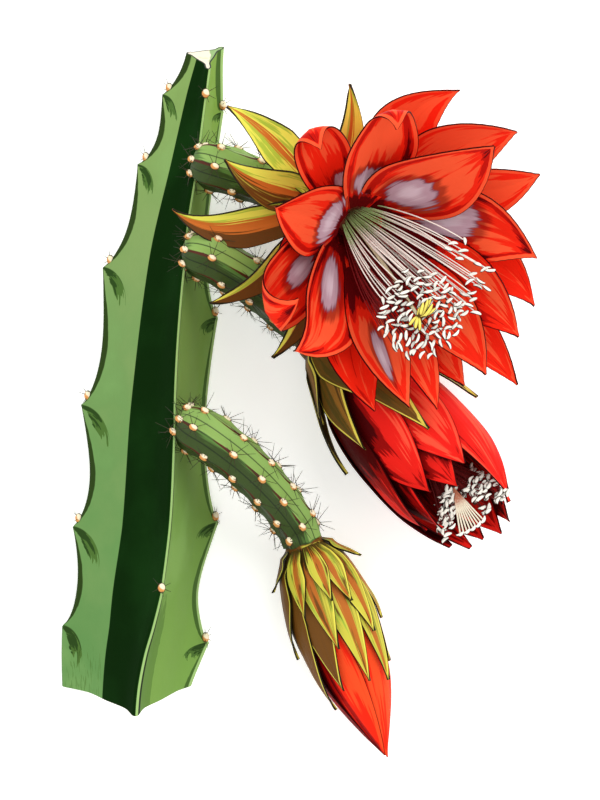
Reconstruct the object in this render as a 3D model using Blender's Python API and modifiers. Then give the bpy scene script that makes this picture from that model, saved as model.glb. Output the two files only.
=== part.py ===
"""Flowering sun cactus cutting: a three-ribbed stem lying down, with three flower tubes that carry
an open bloom, a half open bloom and a bud. Lengths are in millimetres, meshes in metres."""
import math
import random

import bmesh
import bpy
from mathutils import Matrix, Vector
from mathutils.bvhtree import BVHTree

MM = 0.001
SEED = 11

# The stem: height along Y, centre X, rib reach, middle rib angle in degrees, centre Z
STEM_KEYS = (
    (-132.0, -67.6, 31.4, 87.5, 17.0),
    (-116.0, -66.9, 32.1, 86.6, 17.7),
    (-102.0, -65.3, 33.7, 85.0, 19.3),
    (-90.0, -63.5, 34.7, 82.4, 21.2),
    (-76.0, -62.3, 34.8, 79.0, 22.9),
    (-47.0, -58.7, 34.2, 78.4, 22.7),
    (0.0, -57.2, 32.1, 77.4, 21.7),
    (55.0, -52.9, 27.2, 76.6, 18.7),
    (96.0, -46.0, 19.6, 76.0, 13.6),
    (122.0, -41.6, 14.6, 75.5, 10.2),
    (136.0, -38.9, 10.8, 75.5, 7.6),
    (148.0, -36.6, 8.6, 75.5, 6.1),
)
STEM_STEP = 11.0
RIB_TURNS = (0.0, 120.0, -120.0)
RIB_SHOULDERS = (
    (150.0, 94.0, 58.0, -9.0, -75.5, -140.0),
    (150.0, 122.0, 94.0, 53.0, -2.0, -50.5, -90.0),
    (150.0, 115.0, 33.0, -49.0, -97.0, -150.0),
)
RIB_DEPTHS = (2.4, 5.0, 7.0)
VALLEY = 0.40
RIB_TIP = 1.2
TOP_CUT_Y = 141.2
TOP_CUT_SLOPE = 0.5
FOOT_CUT_Y = -113.5
FOOT_CUT_SLOPE = 0.263
# Areoles on the stem: rib number and Y
STEM_AREOLES = (
    (1, 124.6), (1, 96.8), (1, 55.8), (1, 1.6), (1, -47.4),
    (0, 122.0), (0, -74.6),
    (2, 117.6), (2, 35.2), (2, -46.6), (2, -95.0),
)

# Flower tubes: centre line points and the radius at each end
TUBE_RIBS = 7
TUBE_RADII = (9.3, 7.8)
OPEN_TUBE = (
    (-39.4, 94.2, 30.5), (-33.6, 92.4, 32.5), (-22.6, 89.0, 29.5),
    (-8.6, 83.8, 23.5), (4.0, 80.4, 23.5), (13.3, 78.4, 30.7),
)
SECOND_TUBE = (
    (-43.8, 58.8, 40.5), (-38.0, 57.2, 41.0), (-29.8, 53.0, 37.5), (-17.4, 45.0, 26.5),
    (-7.5, 36.6, 15.6), (-2.0, 31.4, 12.4), (2.6, 27.0, 12.1),
)
BUD_TUBE = (
    (-46.4, -9.0, 49.0), (-35.8, -15.4, 50.0), (-22.6, -25.8, 45.0), (-10.2, -38.6, 34.5),
    (-2.2, -49.8, 25.2), (0.6, -56.6, 22.7),
)
OPEN_AXIS = (0.339, -0.408, 0.848)
SECOND_AXIS = (0.675, -0.700, 0.225)
BUD_AXIS = (0.360, -0.925, -0.110)

CLEARANCE = 0.3
BLADE = 0.8
PETAL_SKEW = 0.95
BRACT_SKEW = 0.5
PLACE = (0.7, 1.15)
WELDS = (0.02, 0.01, 0.005, 0.002, 0.001)

# Open blades: turn, lean, curl, length, width, cup, hook, root along the axis, root radius
OPEN_PETALS = (
    (147, 47, 0, 54, 32, 0.20, 60, 21, 9.6),
    (116, 59, 15, 58, 29, 0.45, -45, 21, 9.6),
    (79, 50, 12, 64, 28, 0.30, -20, 21, 9.6),
    (51, 40, 15, 72, 29, 0.30, 0, 21, 9.6),
    (3, 31, 15, 76, 31, 0.25, 0, 21, 9.6),
    (-33, 39, 5, 76, 26, 0.25, 0, 21, 9.6),
    (-53, 38, 5, 76, 26, 0.25, 0, 21, 9.6),
    (-75, 43, 5, 76, 22, 0.20, 0, 21, 9.6),
    (-90, 34, 5, 76, 27, 0.30, 0, 21, 9.6),
    (-140, 21, 15, 66, 30, 0.45, 0, 21, 9.6),
    (-168, 33, 15, 62, 31, 0.45, 0, 21, 9.6),
    (67, 50, 15, 80, 26, 0.25, 0, 17, 10.2),
    (47, 43, 15, 84, 29, 0.25, 0, 17, 10.2),
    (32, 38, 15, 84, 27, 0.25, 0, 17, 10.2),
    (-18, 31, 10, 82, 27, 0.25, 0, 17, 10.2),
    (-48, 44, 5, 88, 28, 0.25, 0, 17, 10.2),
    (-64, 40, 5, 80, 27, 0.25, 0, 17, 10.2),
    (-102, 34, 5, 80, 30, 0.25, 0, 17, 10.2),
    (-158, 42, 20, 58, 32, 0.35, -20, 17, 10.2),
)
OPEN_BRACTS = (
    (133, 102, 8, 58, 20, 0.35, 0, 9, 7.4),
    (149, 89, 6, 48, 20, 0.35, 0, 7, 7.4),
    (174, 95, 8, 62, 20, 0.40, 0, 8, 7.4),
    (-158, 76, 6, 60, 19, 0.40, -30, 7, 7.4),
    (-121, 70, 6, 58, 18, 0.35, 0, 6, 7.4),
    (90, 78, 4, 52, 15, 0.35, 0, 7, 7.4),
    (44, 82, 6, 44, 15, 0.35, 0, 6, 7.4),
    (-4, 62, 8, 44, 15, 0.35, 0, 6, 7.4),
    (-50, 54, 8, 38, 15, 0.35, 0, 6, 7.4),
)
FILAMENTS = 20
FILAMENT_BEND = 30.0
ANTHER = (2.4, 0.8)
ANTHER_CENTRE = (55.0, 41.0, 86.0)
ANTHER_SPREAD = (22.0, 17.5)
STIGMA = (48.0, 33.0, 88.0)
STIGMA_LOBES = 8

# Closed shapes: distance along the axis and radius
SECOND_PROFILE = (
    (10.0, 8.6), (20.0, 14.0), (35.0, 21.4), (50.0, 25.0), (66.0, 26.2), (80.0, 25.8),
    (92.0, 23.2), (103.0, 19.6), (116.0, 15.5),
)
BUD_PROFILE = (
    (5.0, 9.0), (10.0, 11.8), (18.0, 14.2), (30.0, 16.4), (38.0, 16.8), (51.0, 16.0),
    (60.0, 14.4), (70.0, 11.4), (81.0, 7.0), (89.0, 3.2), (93.0, 1.2),
)
# Closed blades: turn, end along the axis, width, lift off the profile, lift at the tip
SECOND_PETALS = (
    (270, 111, 30, -4.6, -3.0), (330, 111, 30, -4.6, -3.0), (30, 102, 30, -4.6, -3.0),
    (90, 96, 30, -4.6, -3.0), (150, 98, 30, -4.6, -3.0), (210, 108, 30, -4.6, -3.0),
    (247, 107, 29, -1.8, -0.6), (292, 110, 29, -1.8, -0.6), (337, 107, 29, -1.8, 0.0),
    (22, 97, 28, -1.8, 0.4), (67, 88, 28, -1.8, 0.4), (112, 87, 28, -1.8, 0.6),
    (157, 94, 28, -1.8, 0.4), (202, 102, 29, -1.8, 0.0),
)
SECOND_BRACTS = (
    (184, 53, 16, 3.6, 5.0), (124, 56, 17, 1.2, 2.4), (75, 69, 17, 1.3, 2.6),
    (8, 68, 16, 1.2, 4.6), (222, 44, 15, 1.2, 1.8), (325, 50, 15, 1.3, 2.4),
    (40, 44, 16, 1.4, 2.0), (98, 38, 15, 2.7, 3.2), (153, 34, 14, 2.6, 3.4),
)
BUD_PETALS = (
    (60, 93, 27, -1.9, -1.0), (132, 92, 27, -1.9, -1.0), (204, 92, 27, -1.9, -1.0),
    (276, 91, 27, -1.9, -1.0), (348, 92, 27, -1.9, -1.0),
)
BUD_BRACTS = (
    (160, 67, 13, 1.2, 1.4), (118, 60, 13, 1.3, 1.2), (73, 60, 13, 1.2, 1.3),
    (37, 63, 13, 1.3, 1.5), (340, 58, 13, 1.2, 1.2), (215, 60, 13, 1.3, 1.1),
    (180, 43, 12, 2.7, 3.0), (98, 43, 12, 2.6, 2.8), (47, 42, 12, 2.7, 3.0),
    (0, 40, 12, 2.6, 3.1), (300, 46, 12, 1.3, 1.1), (255, 46, 12, 1.2, 1.2),
    (122, 27, 9, 3.9, 4.2), (61, 27, 9, 3.8, 4.3),
    (8, 13, 6, 3.0, 7.0), (172, 14, 6, 3.1, 7.0),
)
SECOND_ANTHERS = 13
MOUTH = (97.0, 15.2, 8.0)

COLOURS = {
    "stem_green": ((0.20, 0.38, 0.13), 0.55),
    "tube_green": ((0.18, 0.34, 0.10), 0.55),
    "bract_yellow": ((0.62, 0.55, 0.08), 0.50),
    "bract_olive": ((0.40, 0.36, 0.07), 0.50),
    "petal_scarlet": ((0.90, 0.05, 0.02), 0.45),
    "petal_crimson": ((0.78, 0.03, 0.02), 0.45),
    "bud_red": ((0.88, 0.06, 0.03), 0.45),
    "stamen_white": ((0.90, 0.88, 0.80), 0.60),
    "anther_cream": ((0.88, 0.84, 0.70), 0.60),
    "stigma_yellow": ((0.80, 0.74, 0.25), 0.55),
}


def clear_scene():
    """Remove every object, mesh, material and collection."""
    for obj in list(bpy.data.objects):
        bpy.data.objects.remove(obj)
    for store in (bpy.data.meshes, bpy.data.materials, bpy.data.collections):
        for item in list(store):
            store.remove(item)


def principled(name):
    """Return the named Principled material, made on first use."""
    mat = bpy.data.materials.get(name)
    if mat:
        return mat
    colour, rough = COLOURS[name]
    mat = bpy.data.materials.new(name)
    mat.use_nodes = True
    node = mat.node_tree.nodes["Principled BSDF"]
    node.inputs["Base Color"].default_value = (*colour, 1.0)
    node.inputs["Roughness"].default_value = rough
    node.inputs["Metallic"].default_value = 0.0
    return mat


def collection(name, hidden=False):
    """Return a new collection linked to the scene."""
    coll = bpy.data.collections.new(name)
    bpy.context.scene.collection.children.link(coll)
    coll.hide_render = hidden
    return coll


def to_object(name, bm, coll):
    """Make an object of a bmesh given in millimetres, with its faces outward."""
    bmesh.ops.scale(bm, vec=(MM, MM, MM), verts=bm.verts)
    bmesh.ops.recalc_face_normals(bm, faces=bm.faces)
    mesh = bpy.data.meshes.new(name)
    bm.to_mesh(mesh)
    bm.free()
    obj = bpy.data.objects.new(name, mesh)
    coll.objects.link(obj)
    return obj


def apply_modifiers(obj):
    """Replace the object's mesh by its evaluated mesh."""
    graph = bpy.context.evaluated_depsgraph_get()
    graph.update()
    mesh = bpy.data.meshes.new_from_object(obj.evaluated_get(graph))
    old = obj.data
    obj.modifiers.clear()
    obj.data = mesh
    bpy.data.meshes.remove(old)


def smooth(keys, at):
    """Return the values of a keyed table at a position, with a smooth cubic between keys."""
    keys = sorted(keys)
    at = min(max(at, keys[0][0]), keys[-1][0])
    i = 0
    while i < len(keys) - 2 and at > keys[i + 1][0]:
        i += 1
    a, b = keys[i], keys[i + 1]
    before = keys[i - 1] if i > 0 else a
    after = keys[i + 2] if i + 2 < len(keys) else b
    step = b[0] - a[0]
    t = (at - a[0]) / step
    values = []
    for k in range(1, len(a)):
        slope_a = (b[k] - before[k]) / (b[0] - before[0]) * step
        slope_b = (after[k] - a[k]) / (after[0] - a[0]) * step
        values.append(
            (2 * t**3 - 3 * t**2 + 1) * a[k] + (t**3 - 2 * t**2 + t) * slope_a
            + (3 * t**2 - 2 * t**3) * b[k] + (t**3 - t**2) * slope_b)
    return values


def fuse(name, slot, pieces, target):
    """Unite the pieces into one body by one Boolean union on their collection."""
    base = pieces[0]
    group = collection(name + "_pieces", hidden=True)
    for piece in pieces[1:]:
        for coll in list(piece.users_collection):
            coll.objects.unlink(piece)
        group.objects.link(piece)
    if len(pieces) > 1:
        mod = base.modifiers.new("union", "BOOLEAN")
        mod.operation = "UNION"
        mod.operand_type = "COLLECTION"
        mod.collection = group
        mod.solver = "MANIFOLD"
        apply_modifiers(base)
    for piece in pieces[1:]:
        mesh = piece.data
        bpy.data.objects.remove(piece)
        bpy.data.meshes.remove(mesh)
    bpy.data.collections.remove(group)
    return finish_node(base, name, slot, target)


def finish_node(obj, name, slot, target):
    """Clean the object's mesh, name it and give it its material."""
    for weld in WELDS:
        bm = bmesh.new()
        bm.from_mesh(obj.data)
        bmesh.ops.remove_doubles(bm, verts=bm.verts, dist=weld * MM)
        bmesh.ops.dissolve_degenerate(bm, dist=weld * MM / 2.0, edges=bm.edges)
        keep_largest(bm)
        for vert in bm.verts:
            vert.co.z = max(vert.co.z, 0.0)
        bmesh.ops.triangulate(bm, faces=bm.faces)
        bmesh.ops.recalc_face_normals(bm, faces=bm.faces)
        if is_closed(bm):
            break
    bm.to_mesh(obj.data)
    bm.free()
    obj.name = name
    obj.data.name = name
    obj.data.materials.clear()
    obj.data.materials.append(principled(slot))
    for coll in list(obj.users_collection):
        coll.objects.unlink(obj)
    target.objects.link(obj)
    return obj


def is_closed(bm):
    """Return True when, with points a micron apart made one, each edge has two faces."""
    uses = {}
    for face in bm.faces:
        spots = [tuple(round(c * 1000.0 / 0.001) for c in vert.co) for vert in face.verts]
        if len(set(spots)) < 3:
            continue
        for a, b in zip(spots, spots[1:] + spots[:1]):
            key = (a, b) if a < b else (b, a)
            uses[key] = uses.get(key, 0) + 1
    return all(count == 2 for count in uses.values())


def keep_largest(bm):
    """Delete all loose bodies but the one with the most faces."""
    left = set(bm.faces)
    bodies = []
    while left:
        body = set()
        stack = [left.pop()]
        while stack:
            face = stack.pop()
            body.add(face)
            for edge in face.edges:
                for other in edge.link_faces:
                    if other in left:
                        left.discard(other)
                        stack.append(other)
        bodies.append(body)
    bodies.sort(key=len)
    extra = [face for body in bodies[:-1] for face in body]
    if extra:
        bmesh.ops.delete(bm, geom=extra, context="FACES")
        loose = [vert for vert in bm.verts if not vert.link_faces]
        bmesh.ops.delete(bm, geom=loose, context="VERTS")


def cut_away(obj, cutters):
    """Subtract the cutters from the object."""
    for cutter in cutters:
        mod = obj.modifiers.new("cut", "BOOLEAN")
        mod.operation = "DIFFERENCE"
        mod.object = cutter
        mod.solver = "MANIFOLD"
    apply_modifiers(obj)


def grown(obj, distance, coll):
    """Return a copy of the object pushed out along its normals, as a cutter."""
    bm = bmesh.new()
    bm.from_mesh(obj.data)
    bm.normal_update()
    for vert, normal in [(v, v.normal.copy()) for v in bm.verts]:
        vert.co += normal * distance * MM
    mesh = bpy.data.meshes.new(obj.name + "_grown")
    bm.to_mesh(mesh)
    bm.free()
    cutter = bpy.data.objects.new(mesh.name, mesh)
    cutter.display_type = "WIRE"
    cutter.hide_render = True
    coll.objects.link(cutter)
    return cutter


class Axis:
    """A flower's own frame: its origin, its axis and two directions across it."""

    def __init__(self, origin, axis, across=(1.0, 0.0, 0.0)):
        self.origin = Vector(origin)
        self.along = Vector(axis).normalized()
        side = Vector(across)
        self.first = (side - self.along * side.dot(self.along)).normalized()
        self.second = self.along.cross(self.first)

    def out(self, turn):
        """Return the unit direction away from the axis at a turn in degrees."""
        angle = math.radians(turn)
        return self.first * math.cos(angle) + self.second * math.sin(angle)

    def at(self, along, radius=0.0, turn=0.0):
        """Return the point at a distance along the axis and a radius from it."""
        return self.origin + self.along * along + self.out(turn) * radius


def loft(bm, rings):
    """Skin closed rings of points in order and cap both ends."""
    rows = [[bm.verts.new(point) for point in ring] for ring in rings]
    count = len(rows[0])
    for low, high in zip(rows, rows[1:]):
        for i in range(count):
            j = (i + 1) % count
            bm.faces.new((low[i], low[j], high[j], high[i]))
    bm.faces.new(list(reversed(rows[0])))
    bm.faces.new(rows[-1])


def turned(name, frame, profile, sides, coll):
    """Return a body turned about the frame's axis from a closed or capped profile."""
    bm = bmesh.new()
    loft(bm, [[frame.at(s, r, 360.0 * k / sides) for k in range(sides)] for s, r in profile])
    return to_object(name, bm, coll)


def sheet(name, point, steps, across, thickness, coll):
    """Return a grid moved by a point formula of (u, v) and thickened to both sides."""
    bm = bmesh.new()
    bmesh.ops.create_grid(bm, x_segments=steps, y_segments=across, size=1.0)
    for vert in bm.verts:
        vert.co = point((vert.co.x + 1.0) / 2.0, vert.co.y)
    obj = to_object(name, bm, coll)
    mod = obj.modifiers.new("thick", "SOLIDIFY")
    mod.thickness = thickness * MM
    mod.offset = 0.0
    apply_modifiers(obj)
    return obj


def petal_width(u):
    """Return a petal's half width factor at the share u of its length."""
    body = 0.36 + 0.64 * math.sin(math.pi * min(u / 1.24, 1.0))
    return body * min(max((1.0 - u) / 0.38, 0.0), 1.0) ** 0.55


def bract_width(u):
    """Return a bract's half width factor at the share u of its length."""
    body = 0.45 + 0.55 * math.sin(math.pi * min(u / 0.9, 1.0))
    return body * min(max((1.0 - u) / 0.6, 0.0), 1.0) ** 0.8


def open_blade(name, frame, row, shape, steps, across, coll):
    """Return a blade that leans out from the axis, cupped across and hooked at its tip."""
    turn, lean, curl, length, width, cup, hook, root_s, root_r = row
    out = frame.out(turn)
    side = frame.along.cross(out)
    fine = 40
    middle = [frame.origin + frame.along * root_s + out * root_r]
    inward = []
    for i in range(fine + 1):
        u = i / fine
        bend = math.radians(lean + curl * u**1.5 + hook * max((u - 0.72) / 0.28, 0.0) ** 1.5)
        forward = frame.along * math.cos(bend) + out * math.sin(bend)
        inward.append(frame.along * math.sin(bend) - out * math.cos(bend))
        middle.append(middle[-1] + forward * (length / fine))

    def point(u, v):
        i = min(int(round(u * fine)), fine)
        half = max(width / 2.0 * shape(u), 0.8)
        return middle[i] + side * (half * v) + inward[i] * (cup * half * v * v)

    return sheet(name, point, steps, across, BLADE, coll)


def closed_blade(name, frame, row, profile, start, root, shape, skew, steps, across, coll):
    """Return a blade along a turned profile, one edge raised over its neighbour's."""
    turn, end, width, lift, tip_lift = row
    first = profile[0][0]

    def point(u, v):
        s = start + (end - start) * u
        radius = smooth(profile, max(s, first))[0]
        if s < first:
            radius -= (first - s) * 0.5
        risen = min(u / 0.2, 1.0)
        radius += root + (lift - root) * risen + (tip_lift - lift) * u**3
        radius += skew * v * risen * min(radius / 12.0, 1.0)
        radius = max(radius, 0.9)
        half = max(width / 2.0 * shape(u), 0.8)
        spread = math.degrees(min(half / radius, 1.35))
        return frame.at(s, radius, turn + spread * v)

    return sheet(name, point, steps, across, BLADE, coll)


def needle(name, root, tip, thick, coll):
    """Return a three-sided cone from root to tip."""
    bm = bmesh.new()
    way = Vector(tip) - Vector(root)
    bmesh.ops.create_cone(
        bm, cap_ends=True, segments=3, radius1=thick, radius2=0.0, depth=way.length)
    turn = way.to_track_quat("Z", "Y").to_matrix().to_4x4()
    place = Matrix.Translation((Vector(root) + Vector(tip)) / 2.0) @ turn
    bmesh.ops.transform(bm, matrix=place, verts=bm.verts)
    return to_object(name, bm, coll)


def pad(name, centre, way, size, sides, rows, coll):
    """Return a ball of few faces stretched along a direction."""
    bm = bmesh.new()
    bmesh.ops.create_uvsphere(bm, u_segments=sides, v_segments=rows, radius=1.0)
    bmesh.ops.scale(bm, vec=(size[0], size[0], size[1]), verts=bm.verts)
    turn = Vector(way).to_track_quat("Z", "Y").to_matrix().to_4x4()
    bmesh.ops.transform(bm, matrix=Matrix.Translation(centre) @ turn, verts=bm.verts)
    return to_object(name, bm, coll)


def thread(name, points, radii, sides, coll):
    """Return a tapering tube of few sides along a line of points."""
    bm = bmesh.new()
    loft(bm, tube_rings(points, radii, sides, lambda k: 1.0)[0])
    return to_object(name, bm, coll)


def tube_rings(points, radii, sides, ripple, last=None):
    """Return rings of points round a line, the last one square to its own direction if given,
    and each ring's centre and directions."""
    rings = []
    frames = []
    first = None
    for i, centre in enumerate(points):
        ahead = points[min(i + 1, len(points) - 1)]
        behind = points[max(i - 1, 0)]
        along = (ahead - behind).normalized()
        if last and i == len(points) - 1:
            along = Vector(last).normalized()
        if first is None:
            first = Vector((0.0, 0.0, 1.0))
        first = (first - along * first.dot(along)).normalized()
        second = along.cross(first)
        ring = []
        for k in range(sides):
            angle = 2.0 * math.pi * k / sides
            away = first * math.cos(angle) + second * math.sin(angle)
            ring.append(centre + away * radii[i] * ripple(k))
        rings.append(ring)
        frames.append((centre, along, first.copy(), second))
    return rings, frames


def along_path(path, steps):
    """Return evenly spread points on a smooth line through the given points."""
    keys = []
    run = 0.0
    for i, point in enumerate(path):
        if i:
            run += (Vector(point) - Vector(path[i - 1])).length
        keys.append((run, *point))
    return [Vector(smooth(keys, run * k / steps)) for k in range(steps + 1)]


def rib_reach(rib, y, reach):
    """Return how far a rib reaches at Y: full at each shoulder and scalloped between them."""
    marks = RIB_SHOULDERS[rib]
    for high, low in zip(marks, marks[1:]):
        if low <= y <= high:
            t = (high - y) / (high - low)
            depth = RIB_DEPTHS[rib] * min(reach / 26.0, 1.0)
            return reach - depth * math.sin(math.pi * t**1.5)
    return reach


def stem_ring(y):
    """Return the three-ribbed section of the stem at Y."""
    x, reach, middle, z = smooth(STEM_KEYS, y)
    ring = []
    for rib in (0, 1, 2):
        angle = math.radians(middle + RIB_TURNS[rib])
        out = Vector((math.cos(angle), 0.0, math.sin(angle)))
        side = Vector((-math.sin(angle), 0.0, math.cos(angle)))
        far = rib_reach(rib, y, reach)
        tip = min(RIB_TIP, 0.1 * reach + 0.2)
        half = VALLEY * reach
        outline = (
            (half * 0.5, -half * 0.866), (0.56 * reach, -0.125 * reach), (far - tip, -tip),
            (far, 0.0), (far - tip, tip), (0.56 * reach, 0.125 * reach),
        )
        for away, across in outline:
            ring.append(Vector((x, y, z)) + out * away + side * across)
    return ring


def stem_stations():
    """Return the Y of each section: all shoulders, and steps between them."""
    marks = sorted({y for rib in RIB_SHOULDERS for y in rib if -130.0 < y < 146.0})
    marks = [-131.0] + marks + [147.0]
    kept = [marks[0]]
    for y in marks[1:]:
        if y - kept[-1] < 2.5:
            continue
        count = max(1, round((y - kept[-1]) / STEM_STEP))
        start = kept[-1]
        kept.extend(start + (y - start) * (k + 1) / count for k in range(count))
    return kept


def stem_body(coll):
    """Return the stem without its areoles, cut at both ends."""
    bm = bmesh.new()
    loft(bm, [stem_ring(y) for y in stem_stations()])
    for y, slope, side in ((TOP_CUT_Y, TOP_CUT_SLOPE, 1.0), (FOOT_CUT_Y, FOOT_CUT_SLOPE, -1.0)):
        result = bmesh.ops.bisect_plane(
            bm, geom=bm.verts[:] + bm.edges[:] + bm.faces[:], plane_co=(0.0, y, 0.0),
            plane_no=Vector((0.0, 1.0, slope)).normalized() * side, clear_outer=True, dist=1e-5)
        rim = [item for item in result["geom_cut"] if isinstance(item, bmesh.types.BMEdge)]
        bmesh.ops.holes_fill(bm, edges=rim, sides=0)
    for vert in bm.verts:
        vert.co.z = max(vert.co.z, 0.0)
    return to_object("stem_body", bm, coll)


def crest(rib, y):
    """Return the point on a rib's edge and the direction out of it."""
    x, reach, middle, z = smooth(STEM_KEYS, y)
    angle = math.radians(middle + RIB_TURNS[rib])
    out = Vector((math.cos(angle), 0.0, math.sin(angle)))
    return Vector((x, y, z)) + out * rib_reach(rib, y, reach), out


class Clearance:
    """Tells whether a short line keeps clear of the finished neighbours and the floor."""

    def __init__(self, neighbours):
        graph = bpy.context.evaluated_depsgraph_get()
        self.trees = [BVHTree.FromObject(obj, graph) for obj in neighbours]

    def free(self, root, tip, gap):
        """Return True when every sample from root to tip keeps the gap in millimetres."""
        for k in range(1, 7):
            point = (root + (tip - root) * (k / 6.0)) * MM
            if point.z < 0.6 * MM:
                return False
            for tree in self.trees:
                hit = tree.find_nearest(point)
                if hit[0] is not None and hit[3] < gap * MM:
                    return False
        return True


def spine_fan(name, centre, out, along, count, length, rng, clear, coll):
    """Return the free spines that fan out of one areole."""
    spines = []
    across = out.cross(along).normalized()
    for k in range(count):
        angle = 2.0 * math.pi * (k + rng.random() * 0.6) / count
        lean = math.radians(rng.uniform(35.0, 70.0))
        way = out * math.cos(lean)
        way += (along * math.cos(angle) + across * math.sin(angle)) * math.sin(lean)
        tip = centre + way * length * rng.uniform(0.75, 1.1)
        root = centre - way * 0.6
        if clear is None or clear.free(centre, tip, 0.9):
            spines.append(needle(f"{name}_{k}", root, tip, 0.34, coll))
    return spines


def build_stem(body, target, coll):
    """Unite the stem with its areoles and their short spines."""
    rng = random.Random(SEED)
    pieces = [body]
    for i, (rib, y) in enumerate(STEM_AREOLES):
        centre, out = crest(rib, y)
        along = Vector((0.0, -1.0, 0.0))
        if centre.z < 4.0:
            centre.z += 2.2
            out = Vector((out.x, 0.0, 0.25)).normalized()
        pieces.append(pad(f"areole_{i}", centre, out, (2.0, 1.7), 6, 3, coll))
        pieces += spine_fan(f"spine_{i}", centre + out * 1.2, out, along, 3, 4.2, rng, None, coll)
    return fuse("stem", "stem_green", pieces, target)


def build_tube(name, path, axis, neighbours, cutter, rows, count, spine, seed, target, coll):
    """Return a ribbed flower tube with areoles staggered on its ribs and fans of bristles."""
    steps = max(8, round((Vector(path[-1]) - Vector(path[0])).length / 9.5))
    points = along_path(path, steps)
    radii = []
    for k in range(steps + 1):
        share = k / steps
        radius = TUBE_RADII[0] + (TUBE_RADII[1] - TUBE_RADII[0]) * share
        radii.append(radius * (0.72 if k == 0 else 1.0))
    sides = TUBE_RIBS * 2
    rings, frames = tube_rings(
        points, radii, sides, lambda k: 1.07 if k % 2 == 0 else 0.94, axis)
    bm = bmesh.new()
    loft(bm, rings)
    tube = to_object(name + "_body", bm, coll)
    cut_away(tube, [cutter])
    clear = Clearance(neighbours)
    rng = random.Random(seed)
    pieces = [tube]
    for rib in range(TUBE_RIBS):
        for row in range(rows):
            share = (row + 0.55 + 0.5 * (rib % 2)) / (rows + 0.35)
            if share > 0.95:
                continue
            i = min(int(share * steps), steps - 1)
            f = share * steps - i
            centre = points[i].lerp(points[i + 1], f)
            _, along, first, second = frames[i]
            angle = 2.0 * math.pi * rib / TUBE_RIBS
            out = first * math.cos(angle) + second * math.sin(angle)
            radius = radii[i + 1] + (radii[i] - radii[i + 1]) * (1.0 - f)
            spot = centre + out * radius * 1.06
            if not clear.free(spot, spot + out * 2.0, 1.0):
                continue
            pieces.append(pad(f"areole_{rib}_{row}", spot, out, (1.7, 1.4), 5, 2, coll))
            pieces += spine_fan(
                f"spine_{rib}_{row}", spot + out * 0.8, out, along, count, spine, rng, clear, coll)
    return fuse(name, "tube_green", pieces, target)


def build_open_bloom(target, coll):
    """Return the bracts, petals, stamens and pistil of the open bloom."""
    frame = Axis(OPEN_TUBE[-1], OPEN_AXIS)
    bracts = [turned("seat", frame, ((0.3, 7.6), (6.0, 8.6), (12.0, 9.4)), 16, coll)]
    for i, row in enumerate(OPEN_BRACTS):
        bracts.append(open_blade(f"bract_{i}", frame, row, bract_width, 5, 2, coll))
    petals = [turned("cup", frame, (
        (12.3, 9.6), (18.0, 11.0), (24.0, 11.8), (24.0, 9.6), (14.0, 7.6)), 20, coll)]
    for i, row in enumerate(OPEN_PETALS):
        petals.append(open_blade(f"petal_{i}", frame, row, petal_width, 6, 2, coll))
    made = [
        fuse("open_bloom_bracts", "bract_yellow", bracts, target),
        fuse("open_bloom_petals", "petal_scarlet", petals, target),
    ]
    made += build_stamens(frame, target, coll)
    return made


def bend_line(start, lift, end, steps):
    """Return points on a curve that leaves start towards lift and ends at end."""
    points = []
    for k in range(steps + 1):
        t = k / steps
        points.append(start * (1 - t) ** 2 + lift * (2 * t * (1 - t)) + end * t**2)
    return points


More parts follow.
